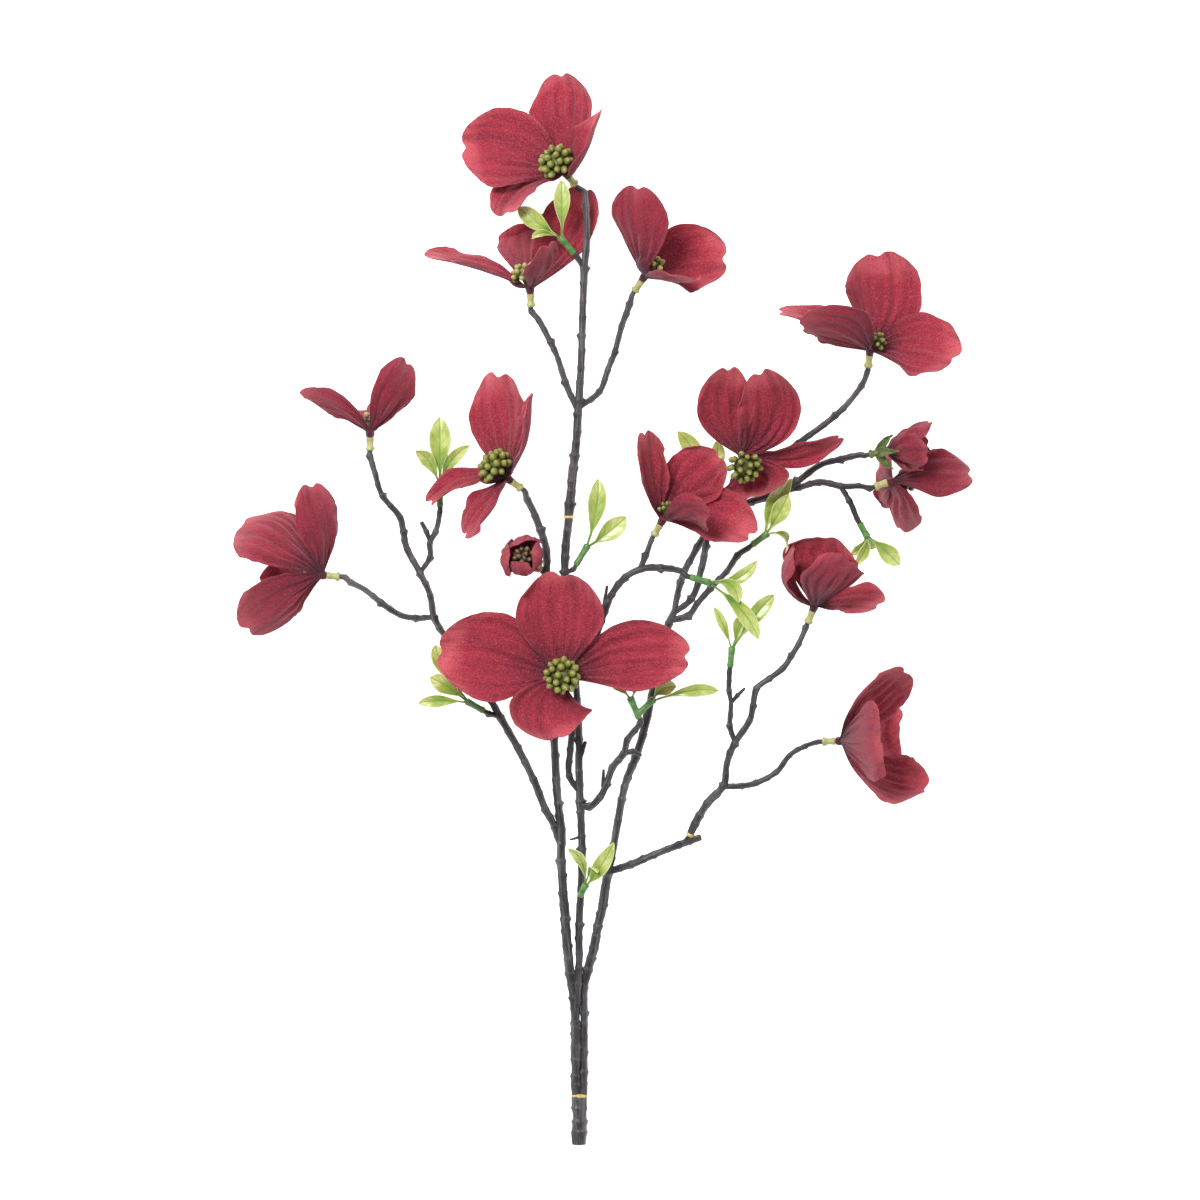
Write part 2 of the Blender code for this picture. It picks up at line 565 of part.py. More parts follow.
def tube(stations, resolution):
    """A closed tube of stations (point, radius): a bevelled curve made a mesh, its ends welded shut."""
    curve = bpy.data.curves.new("tube", "CURVE")
    curve.dimensions = "3D"
    curve.bevel_depth = MM
    curve.bevel_resolution = resolution
    curve.use_fill_caps = True
    line = curve.splines.new("POLY")
    line.points.add(len(stations) - 1)
    for spot, (place, radius) in zip(line.points, stations):
        spot.co = (*(place * MM), 1)
        spot.radius = radius
    drawn = bpy.data.objects.new("tube", curve)
    bpy.context.scene.collection.objects.link(drawn)
    mesh = evaluated_mesh(drawn)
    bpy.data.objects.remove(drawn)
    shape = bmesh.new()
    shape.from_mesh(mesh)
    bmesh.ops.remove_doubles(shape, verts=shape.verts, dist=0.00001)
    bmesh.ops.recalc_face_normals(shape, faces=shape.faces)
    shape.to_mesh(mesh)
    shape.free()
    solid = bpy.data.objects.new("tube", mesh)
    bpy.context.scene.collection.objects.link(solid)
    return solid


def spine(root, via, tip, s):
    """Point and direction on the curve that leaves the root, passes through via and ends at the tip."""
    bend = 2 * via - (root + tip) / 2
    point = (1 - s) ** 2 * root + 2 * s * (1 - s) * bend + s * s * tip
    heading = 2 * (1 - s) * (bend - root) + 2 * s * (tip - bend)
    return point, heading.normalized()


def petal_half_width(u):
    """Share of the half width: narrow at the hub, widest near two thirds, round at the tip."""
    rise = math.sin(math.pi / 2 * min(u / 0.64, 1.0)) ** 1.2
    fall = 1 - 0.19 * max(0.0, (u - 0.64) / 0.36) ** 2
    return (0.08 + 0.92 * rise) * fall


def leaf_half_width(u):
    """Share of the half width of a leaf: a thin stalk, a belly past the middle and a point."""
    blade = max(0.0, (u - 0.22) / 0.78)
    return 0.13 + 0.82 * math.sin(math.pi * blade ** 1.1) ** 0.9 if 0 < blade < 1 else 0.13


def across(point, heading, side, v, half, roll, tilt):
    """Step sideways from the midrib along an arc whose ends are rolled to the inner face."""
    wide = (side - heading * side.dot(heading)).normalized()
    inner = heading.cross(wide)
    leaned = wide * math.cos(tilt) + inner * math.sin(tilt)
    inner = heading.cross(leaned)
    arc = max(roll, 0.01)
    sideways = half * math.sin(arc * v) / arc
    upward = half * (1 - math.cos(arc * v)) / arc
    return point + leaned * sideways + inner * upward, inner


def petal_point(bloom, petal, level, u, v, phase):
    """A point of a petal's middle surface: u from the hub to the tip, v from edge to edge."""
    root = bloom.hub + bloom.faces * level
    side = bloom.faces.cross(petal.via - bloom.hub).normalized()
    rounding = 0.20 * abs(v) ** 2.4 * u
    cleft = petal.notch * math.exp(-((v / 0.28) ** 2)) * u ** 6
    point, heading = spine(root, petal.via, petal.tip, u * (1 - rounding - cleft))
    half = petal.width / 2 * petal_half_width(u)
    tilt = petal.turn + petal.twist * u
    point, inner = across(point, heading, side, v, half, petal.roll * min(1.0, u * 3), tilt)
    edge_wave = math.sin(9.0 * u + phase + 2.0 * math.copysign(1, v)) * abs(v) ** 2 * u
    return point + inner * petal.wave * edge_wave


def kept_clear(bloom, point):
    """Bend a petal's point clear of the head, the sleeve and the table."""
    centre = bloom.head_centre()
    stand_off = bloom.bud_radius() * (BUD_STRETCH - BUD_SUNK) + HEAD_CLEARANCE
    reach = bloom.head_radius + stand_off
    depth = bloom.head_depth + stand_off
    offset = point - centre
    along = offset.dot(bloom.faces)
    beside = (offset - bloom.faces * along).length
    share = math.hypot(beside / reach, along / depth)
    if share < 1:
        point = centre + offset / max(share, 0.2)
    below = (bloom.hub - point).dot(bloom.twig)
    if below > 0.8:
        foot = bloom.hub - bloom.twig * below
        clear = SLEEVE_COLLAR + GAP + PETAL_THICK
        if (point - foot).length < clear:
            point = foot + (point - foot).normalized() * clear
    point.z = max(point.z, PETAL_THICK / 2)
    return point


def bent_blade(strips, thick, place):
    """A grid whose points are moved by `place(u, v)`, drawn to a point at its root, with a thickness."""
    count_across, count_along = strips
    shape = bmesh.new()
    bmesh.ops.create_grid(shape, x_segments=count_across, y_segments=count_along, size=1)
    root = [corner for corner in shape.verts if corner.co.y < -0.999]
    for corner in shape.verts:
        corner.co = place((corner.co.y + 1) / 2, corner.co.x)
    bmesh.ops.pointmerge(shape, verts=root, merge_co=place(0, 0))
    bmesh.ops.triangulate(shape, faces=shape.faces)
    blade = object_from("blade", shape)
    wall = blade.modifiers.new("Thickness", "SOLIDIFY")
    wall.thickness = thick * MM
    wall.offset = 0
    solid = bpy.data.objects.new("blade_solid", evaluated_mesh(blade))
    bpy.context.scene.collection.objects.link(solid)
    bpy.data.objects.remove(blade)
    return solid


def petal_solid(bloom, index):
    petal = bloom.petals[index]
    level = CROSS_LEVELS[index % 2]

    def place(u, v):
        nearer = u ** ROOT_CROWDING
        return kept_clear(bloom, petal_point(bloom, petal, level, nearer, v, 1.7 * index))

    length = (petal.tip - bloom.hub).length
    count_across = NARROW_STRIPS if petal.width < NARROW_PETAL else WIDE_STRIPS
    count_along = min(MOST_STRIPS, max(FEWEST_STRIPS, round(length / STRIP_LENGTH)))
    solid = bent_blade((count_across, count_along), PETAL_THICK, place)
    if petal.tip.z < 0:
        for corner in solid.data.vertices:
            if corner.co.z < PRESSED_FLAT * MM:
                corner.co.z = 0.0
    return solid


def make_petals(name, bloom, finish, home):
    """The four petals of a bloom and the hub that they are threaded on, as one body."""
    pieces = [tube([(bloom.hub - bloom.twig * HUB_BELOW, HUB_RADIUS), (bloom.hub, HUB_RADIUS),
                    (bloom.hub + bloom.faces * HUB_ABOVE, HUB_TOP_RADIUS)], 1)]
    pieces += [petal_solid(bloom, index) for index in range(len(bloom.petals))]
    return fuse(name, pieces, finish, home)


def bud_directions(count):
    """Even directions over all but the underside of a head, by the golden angle."""
    golden = math.pi * (3 - math.sqrt(5))
    for index in range(count):
        rise = 1 - 1.45 * (index + 0.5) / count
        ring = math.sqrt(1 - rise * rise)
        yield Vector((ring * math.cos(golden * index), ring * math.sin(golden * index), rise))


def make_head(name, bloom, finish, home):
    """A head of small closed buds standing out of a core, on a short stalk over the hub."""
    centre = bloom.head_centre()
    turn = frame_along(bloom.faces)
    bud_radius = bloom.bud_radius()
    core = bmesh.new()
    bmesh.ops.create_icosphere(core, subdivisions=1, radius=1)
    size = (bloom.head_radius - 0.7 * bud_radius, bloom.head_radius - 0.7 * bud_radius,
            bloom.head_depth - 0.5 * bud_radius, 1)
    place = Matrix.Translation(centre) @ turn @ Matrix.Diagonal(size)
    bmesh.ops.transform(core, matrix=place, verts=core.verts)
    stalk_foot = bloom.hub + bloom.faces * (HUB_ABOVE + 2 * GAP)
    pieces = [object_from("core", core), frustum(stalk_foot, centre, 1.1, 1.6, 5)]
    for way in bud_directions(bloom.head_buds):
        seat = Vector((way.x * bloom.head_radius, way.y * bloom.head_radius, way.z * bloom.head_depth))
        outward = (turn.to_3x3() @ way).normalized()
        belly = centre + turn.to_3x3() @ seat - outward * BUD_SUNK * bud_radius
        pieces.append(bud(belly, outward, bud_radius))
    return fuse(name, pieces, finish, home)


def make_sleeve(name, bloom, finish, home, sepals=()):
    """The pale sleeve under a bloom, with the collar where the twig is glued in, and any sepals."""
    top = bloom.hub - bloom.twig * (HUB_BELOW + GAP)
    foot = top - bloom.twig * SLEEVE_LENGTH
    pieces = [tube([(foot, SLEEVE_COLLAR * 0.9), (foot + bloom.twig * 1.2, SLEEVE_COLLAR),
                    (foot + bloom.twig * 1.8, SLEEVE_RADIUS * 0.9), (top, SLEEVE_RADIUS)], 1)]
    pieces += [leaf_solid(top - bloom.twig * 2.2, sepal) for sepal in sepals]
    return fuse(name, pieces, finish, home)


def leaf_solid(root, leaf):
    """A pointed leaf that grows out of `root`, its width level where it starts."""
    side = Vector((0, 0, 1)).cross(leaf.via - root).normalized()

    def place(u, v):
        point, heading = spine(root, leaf.via, leaf.tip, u)
        half = leaf.width / 2 * leaf_half_width(u)
        point, _ = across(point, heading, side, v, half, leaf.roll, leaf.turn)
        point.z = max(point.z, LEAF_THICK / 2)
        return point

    return bent_blade(LEAF_STRIPS, LEAF_THICK, place)


def make_sprig(name, sprig, finish, home):
    """Sockets with their leaves, in one body; where there are two, the second is sunk in the first."""
    pieces = []
    for root, top, leaves in sprig.stalks:
        inside = top - (top - root).normalized() * 1.5
        pieces.append(tube([(root, SOCKET_RADIUS), (top, SOCKET_RADIUS * 1.1)], 1))
        pieces += [leaf_solid(inside, leaf) for leaf in leaves]
    return fuse(name, pieces, finish, home)


def bark_tube(joints):
    """One stretch of bark, whose radius swells at every second joint."""
    stations = []
    for index, joint in enumerate(joints):
        if isinstance(joint, str):
            end, way = {"bud": BUD, **BLOOMS, **SPRIGS}[joint].twig_end()
            stations += [(end - way * SQUARE_END, TWIG_RADIUS), (end, TWIG_RADIUS)]
            continue
        x, y, z, radius = joint
        inner = 0 < index < len(joints) - 1
        swell = (RING_SWELL if index % 2 else RING_PINCH) if inner else 1.0
        stations.append((Vector((x, y, z)), radius * swell))
    return tube(stations, 1)


def make_branch(name, stretches, finish, home):
    return fuse(name, [bark_tube(joints) for joints in stretches.values()], finish, home)


def build_spray():
    home = collection_named("dogwood_flower_branch")
    fabric = plain_material("crimson_petal_fabric", CRIMSON, 0.8)
    bud_plastic = plain_material("green_bud_plastic", BUD_GREEN, 0.5)
    sleeve_plastic = plain_material("pale_sleeve_plastic", SLEEVE_GREEN, 0.5)
    leaf_fabric = plain_material("leaf_fabric", LEAF_GREEN, 0.5)
    bark = plain_material("moulded_bark", BARK, 0.55)
    for name, bloom in BLOOMS.items():
        make_petals(name + "_petals", bloom, fabric, home)
        make_head(name + "_bud_head", bloom, bud_plastic, home)
        make_sleeve(name + "_sleeve", bloom, sleeve_plastic, home, SEPALS.get(name, ()))
    make_petals("closed_bud_petals", BUD, fabric, home)
    make_head("closed_bud_stamens", BUD, bud_plastic, home)
    make_sleeve("closed_bud_sleeve", BUD, sleeve_plastic, home)
    for name, sprig in SPRIGS.items():
        make_sprig(name, sprig, leaf_fabric, home)
    make_branch("stem_foot", {"foot": FOOT}, bark, home)
    make_branch("main_branch", MAIN_BRANCH, bark, home)
    make_branch("top_branch", TOP_BRANCH, bark, home)
    make_branch("right_branch", RIGHT_BRANCH, bark, home)


if __name__ == "__main__":
    clear_scene()
    build_spray()
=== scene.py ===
import math

import bpy
from mathutils import Matrix, Vector, noise


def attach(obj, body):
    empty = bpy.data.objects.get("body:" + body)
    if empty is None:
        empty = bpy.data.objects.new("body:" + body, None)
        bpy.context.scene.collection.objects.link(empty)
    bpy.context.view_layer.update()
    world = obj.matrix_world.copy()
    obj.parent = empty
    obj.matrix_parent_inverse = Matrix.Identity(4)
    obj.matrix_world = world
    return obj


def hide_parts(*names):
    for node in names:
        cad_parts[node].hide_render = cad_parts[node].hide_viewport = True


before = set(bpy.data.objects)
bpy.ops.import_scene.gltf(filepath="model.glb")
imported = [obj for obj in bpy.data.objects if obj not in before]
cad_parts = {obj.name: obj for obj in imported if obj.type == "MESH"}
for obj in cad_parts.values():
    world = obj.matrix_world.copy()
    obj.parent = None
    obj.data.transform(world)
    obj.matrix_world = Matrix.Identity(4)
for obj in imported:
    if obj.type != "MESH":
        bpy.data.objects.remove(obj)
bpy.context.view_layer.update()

# %% [markdown]
# # A dogwood flower branch, laid down
#
# This is an artificial spray: woven crimson petals, moulded green bud heads, coated leaves and a
# dark moulded stem. The CAD model gives every piece its place and rough form. This lesson replaces
# each CAD piece with a finer one of the same form, and gives it the finish that it has in the hand.
#
# Lengths in the tables are in millimetres, and Blender's own unit is the metre.

# %% Lengths and counts that several pieces share
MM = 0.001
FABRIC_THICK = 0.4
LEAF_THICK = 0.5
HUB_BELOW = 2.0
HUB_ABOVE = 2.3
GAP = 0.3
SLEEVE_LENGTH = 6.5
SLEEVE_COLLAR = 2.3
TWIG_RADIUS = 1.3
BUD_SHARE = 0.3
BUD_STRETCH = 1.5
BUD_SUNK = 0.5
HEAD_CLEARANCE = 1.4
CROSS_LEVELS = (0.5, 1.1)

print("CAD nodes:", len(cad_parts))

# %% [markdown]
# ## Where everything is
#
# The tables give each bloom its hub, the way it faces, the way its twig arrives, the size of its
# head and the curve of each petal. The same numbers made the CAD model, so the finer pieces lie
# on the solids that they replace.

# %% Table of the blooms
class Petal:
    """One fabric petal: a strip bent along a curve from the hub through `via` to `tip`.

    roll is how far each long edge is rolled towards the inner face, in degrees; turn tilts the
    whole petal about its midrib and twist adds more of that towards the tip.
    """

    def __init__(self, via, tip, width, roll=28, turn=0, twist=0, notch=0.045, wave=1.3):
        self.via = Vector(via)
        self.tip = Vector(tip)
        self.width = width
        self.roll = math.radians(roll)
        self.turn = math.radians(turn)
        self.twist = math.radians(twist)
        self.notch = notch
        self.wave = wave


class Bloom:
    """A bloom: where its hub is, the way it faces, how its twig arrives, its head and petals."""

    def __init__(self, hub, faces, twig, head, petals):
        self.hub = Vector(hub)
        self.faces = Vector(faces).normalized()
        self.twig = Vector(twig).normalized()
        self.head_radius, self.head_depth, self.head_height, self.bud_count, self.bud_size = head
        self.petals = petals

    def head_centre(self):
        return self.hub + self.faces * self.head_height

    def stand_off(self):
        """How far petals stay from the middle of the buds: the tips of the CAD buds and a clearance."""
        return BUD_SHARE * self.head_radius * (BUD_STRETCH - BUD_SUNK) + HEAD_CLEARANCE

    def twig_end(self):
        """Where the bark stops, a gap short of the sleeve, and the way it points there."""
        return self.hub - self.twig * (HUB_BELOW + GAP + SLEEVE_LENGTH + GAP), self.twig


# Heads: radius, half depth, height of the middle over the hub, number of buds, radius of a bud
WIDE_HEAD = (7.0, 5.0, 10.0, 24, 1.9)
MIDDLE_HEAD = (5.0, 4.0, 8.5, 14, 1.45)
SMALL_HEAD = (3.4, 3.0, 7.0, 10, 1.2)
TUCKED_HEAD = (2.6, 2.4, 6.4, 10, 1.2)
STAMENS = (4.2, 3.2, 9.0, 14, 1.45)

BLOOMS = {
    "bloom_01": Bloom((-20, 219, 40), (-0.5, 0.55, 0.67), (-0.5, 0.6, 0.6), WIDE_HEAD, [
        Petal((-20, 246, 31), (-23, 270, 31), 38),
        Petal((-46, 229, 32), (-73, 232, 30), 47),
        Petal((-41, 211, 42), (-50, 198, 50), 32, turn=24, twist=-12),
        Petal((-12, 227, 50), (-3, 250, 62), 26, roll=60),
    ]),
    "bloom_02": Bloom((-38, 161, 40), (-0.38, 0.9, 0.2), (-0.05, 0.97, 0.2), MIDDLE_HEAD, [
        Petal((-64, 172, 38), (-91, 178, 41), 34, roll=28, turn=10),
        Petal((-40, 184, 14), (-42, 196, -14), 30),
        Petal((-22, 187, 27), (-10, 213, 20), 30, turn=45),
        Petal((-31, 171, 57), (-30, 183, 68), 24),
    ]),
    "bloom_03": Bloom((19, 167, 42), (0.4, 0.8, 0.3), (0.5, 0.75, 0.2), MIDDLE_HEAD, [
        Petal((16, 190, 58), (16, 212, 66), 32, turn=15, twist=40),
        Petal((38, 175, 33), (61, 176, 40), 38, turn=30),
        Petal((32, 165, 58), (43, 163, 70), 26),
        Petal((16, 188, 16), (19, 203, -14), 28),
    ]),
    "bloom_04": Bloom((132, 130, 46), (0.53, 0.7, 0.45), (0.1, 0.9, 0.4), SMALL_HEAD, [
        Petal((136, 155, 34), (136, 180, 36), 48),
        Petal((154, 131, 44), (175, 126, 52), 40, turn=20),
        Petal((116, 138, 61), (97, 142, 62), 44, turn=64),
        Petal((110, 143, 38), (86, 149, 36), 28),
    ]),
    "bloom_05": Bloom((140, 80, 50), (0.95, 0.25, 0.15), (0.95, 0.2, 0.1), SMALL_HEAD, [
        Petal((149, 89, 55), (162, 94, 52), 20, roll=50),
        Petal((149, 78, 60), (161, 78, 60), 22, roll=50),
        Petal((149, 82, 40), (162, 83, 40), 20, roll=50),
        Petal((148, 73, 46), (159, 72, 48), 18, roll=50),
    ]),
    "bloom_06": Bloom((143, 65, 36), (0.75, -0.1, -0.65), (0.93, 0.3, 0), MIDDLE_HEAD, [
        Petal((164, 70, 42), (185, 69, 30), 26),
        Petal((147, 54, 30), (149, 41, 10), 24),
        Petal((140, 62, 15), (136, 59, -12), 20),
        Petal((139, 71, 20), (138, 75, 4), 20),
    ]),
    "bloom_07": Bloom((68, 78, 52), (0.1, -0.6, 0.8), (0.1, -0.2, 0.97), WIDE_HEAD, [
        Petal((60, 99, 58), (61, 122, 72), 30),
        Petal((80, 97, 56), (76, 120, 70), 34),
        Petal((94, 79, 52), (118, 88, 62), 17, roll=60),
        Petal((75, 65, 49), (73, 56, 54), 38),
    ]),
    "bloom_08": Bloom((28, 45, 60), (0.35, 0.75, 0.5), (0.45, 0.8, 0.3), SMALL_HEAD, [
        Petal((22, 66, 64), (19, 90, 70), 26),
        Petal((43, 64, 48), (57, 78, 52), 33),
        Petal((41, 47, 72), (51, 45, 78), 27, turn=-12, twist=-60),
        Petal((52, 48, 54), (73, 37, 58), 30, turn=40),
    ]),
    "bloom_09": Bloom((-49, 66, 52), (-0.62, 0.62, 0.45), (-0.75, 0.55, 0.35), WIDE_HEAD, [
        Petal((-51, 93, 42), (-53, 120, 46), 38),
        Petal((-40, 87, 66), (-36, 109, 72), 32),
        Petal((-69, 66, 51), (-89, 54, 58), 17),
        Petal((-60, 53, 60), (-70, 37, 58), 27),
    ]),
    "bloom_10": Bloom((-118, 89, 44), (0, 0.85, -0.4), (0, 1, 0.05), SMALL_HEAD, [
        Petal((-133, 101, 47), (-153, 108, 34), 19),
        Petal((-106, 107, 50), (-98, 126, 40), 26),
        Petal((-124, 97, 22), (-131, 103, 4), 18),
        Petal((-112, 100, 20), (-106, 107, 4), 18),
    ]),
    "bloom_11": Bloom((-142, 18, 38), (-0.85, 0.05, -0.4), (-0.95, 0.1, 0), TUCKED_HEAD, [
        Petal((-142, 43, 45), (-148, 64, 36), 28, turn=-24),
        Petal((-163, 38, 42), (-184, 44, 26), 46),
        Petal((-162, 5, 42), (-181, -10, 24), 34),
        Petal((-156, 16, 12), (-176, 14, -14), 26),
    ]),
    "bloom_12": Bloom((-22, -33, 56), (0, 0.08, 1), (-0.05, -0.2, 0.98), WIDE_HEAD, [
        Petal((-53, -24, 58), (-84, -20, 66), 47),
        Petal((-23, -5, 59), (-22, 20, 68), 46),
        Petal((11, -23, 57), (42, -23, 64), 37),
        Petal((-28, -49, 59), (-24, -64, 66), 44, roll=34),
    ]),
    "bloom_13": Bloom((104, 2, 46), (0.1, 0.9, 0.35), (0.35, 0.9, 0.25), SMALL_HEAD, [
        Petal((113, 14, 70), (122, 25, 78), 36),
        Petal((107, 23, 30), (110, 38, 36), 40),
        Petal((89, 16, 50), (94, 33, 54), 34),
        Petal((120, 3, 44), (137, 3, 54), 34),
    ]),
    "bloom_14": Bloom((117, -65, 42), (0.95, 0.05, 0.15), (1, 0.05, 0.1), SMALL_HEAD, [
        Petal((132, -43, 42), (151, -30, 48), 42, roll=36, turn=-22),
        Petal((134, -62, 14), (149, -56, -14), 36),
        Petal((127, -65, 70), (137, -64, 84), 42),
        Petal((138, -85, 40), (161, -88, 48), 44, turn=18),
    ]),
}

# The closed bud is built like a bloom whose petals bend inwards
BUD = Bloom((-37, 23, 57), (-0.42, 0.42, 0.8), (-0.4, 0.2, 0.9), STAMENS, [
    Petal((-40.5, 36, 60), (-42.5, 34, 67.5), 22, roll=52, notch=0.0, wave=0.3),
    Petal((-51.5, 25.5, 60), (-48.2, 29, 67), 24, roll=52, notch=0.0, wave=0.3),
    Petal((-42, 18, 65), (-43, 24.6, 70.5), 22, roll=52, notch=0.0, wave=0.3),
    Petal((-31.6, 27, 67), (-36.8, 29.5, 70.5), 24, roll=52, notch=0.0, wave=0.3),
])


class Leaf:
    """One leaf of a sprig, from the socket through `via` to `tip`."""

    def __init__(self, via, tip, width, turn=0, roll=35):
        self.via = Vector(via)
        self.tip = Vector(tip)
        self.width = width
        self.turn = math.radians(turn)
        self.roll = math.radians(roll)


print("blooms:", len(BLOOMS), "and one closed bud")

# %% [markdown]
# ## Where the leaves are
#
# A sprig is one or two sockets, each with its leaves. A leaf is a curve from its socket through a
# point to its tip, and a width.

# %% Table of sepals, leaves and sprigs
# The half-open bloom has four pointed sepals that stand out from the top of its sleeve
SEPALS = {
    "bloom_05": [
        Leaf((139.5, 85, 52.5), (143.5, 88, 54), 5.0),
        Leaf((139.5, 73.8, 50), (143.5, 71, 50), 5.0),
        Leaf((140, 79.5, 57), (146, 79.5, 61.5), 5.5),
        Leaf((139.5, 80, 43), (143.5, 80, 40), 5.0),
    ],
}


class Sprig:
    """A leafy sprig: one or two green sockets, each with its leaves."""

    def __init__(self, *stalks):
        self.stalks = [(Vector(root), Vector(top), leaves) for root, top, leaves in stalks]

    def twig_end(self):
        """Where the bark stops, a gap short of the first socket, and the way it points there."""
        root, top, _ = self.stalks[0]
        way = (top - root).normalized()
        return root - way * GAP, way


SPRIGS = {
    "leaf_sprig_01": Sprig(((-16, 179, 41), (-23, 187, 44), [
        Leaf((-22, 202, 46), (-22, 215, 44), 9),
        Leaf((-34, 194, 45), (-44, 202, 42), 10),
        Leaf((-31, 189, 48), (-37, 186, 48), 4),
    ])),
    "leaf_sprig_02": Sprig(((-83, 52, 46), (-83, 63, 46), [
        Leaf((-83, 81, 46), (-83, 97, 44), 12),
        Leaf((-88, 74, 48), (-95, 80, 52), 8),
        Leaf((-78, 74, 45), (-68, 83, 48), 7),
    ])),
    "leaf_sprig_03": Sprig(((-15, 23, 49), (-9, 33, 50), [
        Leaf((-5, 50, 51), (-4, 66, 50), 10),
        Leaf((1, 39, 52), (10, 47, 50), 11),
    ])),
    "leaf_sprig_04": Sprig(((-61, -50, 42), (-70, -45, 43), [
        Leaf((-82, -45, 44), (-94, -46, 44), 7),
        Leaf((-79, -38, 46), (-88, -33, 46), 10),
        Leaf((-81, -28, 44), (-85, -17, 44), 9),
    ])),
    "leaf_sprig_05": Sprig(
        ((16.5, -53.5, 47.5), (12, -43, 50), [
            Leaf((7, -38, 51), (3, -35, 50), 6),
            Leaf((15, -38, 52), (16, -34, 53), 4),
        ]),
        ((15.9, -51.5, 48), (24, -44, 50), [
            Leaf((28, -39, 51), (35, -38, 50), 9),
            Leaf((42, -40, 51), (56, -40, 50), 7),
        ]),
    ),
    "leaf_sprig_06": Sprig(((54.6, 57.7, 41.2), (53, 66, 39.5), [
        Leaf((45, 79, 36), (36, 90, 36), 10),
        Leaf((56, 76, 36), (55, 85, 36), 8),
    ])),
    "leaf_sprig_07": Sprig(((73, 33, 46), (81, 39, 47), [
        Leaf((86, 48, 50), (91, 58, 52), 10),
        Leaf((83, 51, 48), (93, 66, 46), 10),
        Leaf((89, 38, 44), (90, 29, 36), 5),
    ])),
    "leaf_sprig_08": Sprig(((127, 44, 36), (131, 37, 35), [
        Leaf((140, 30, 36), (147, 23, 36), 10),
        Leaf((128, 32, 30), (123, 29, 28), 6),
        Leaf((130, 31, 34), (125, 23, 32), 6),
        Leaf((133, 34, 28), (133, 31, 24), 8),
    ])),
    "leaf_sprig_09": Sprig(((42, 17, 59), (52, 14, 58), [
        Leaf((65, 16, 57), (75, 25, 58), 7),
        Leaf((62, 13, 60), (66, 4, 60), 8),
        Leaf((67, 1, 58), (76, -14, 58), 9),
    ])),
    "leaf_sprig_10": Sprig(((62, -28, 47), (63, -18, 48), [
        Leaf((59, -8, 49), (54, 2, 50), 5),
        Leaf((67, -9, 46), (70, -3, 44), 10),
        Leaf((74, -3, 50), (84, 8, 48), 9),
    ])),
    "leaf_sprig_11": Sprig(((-13, -143, 31), (-10, -137, 34), [
        Leaf((-12, -126, 38), (-19, -119, 42), 6),
        Leaf((-4, -130, 39), (4, -116, 42), 9),
        Leaf((-7, -129, 38), (-4, -131, 42), 5),
    ])),
}

print("sprigs:", len(SPRIGS))

# %% [markdown]
# ## Where the bark is
#
# Each stretch of stem or twig is a list of its joints, where the real one bends and swells. They
# could be drawn as curves by hand, but a list can be read, and the CAD model has the same joints.

# %% Table of the bark
# Each stretch of bark is a list of joints (x, y, z, radius); a name ends it at that bloom or sprig
FOOT = [(-13.5, -269, 3.12, 3.6), (-13.5, -257, 3.8, 3.6), (-13.3, -244.6, 5.0, 3.7)]

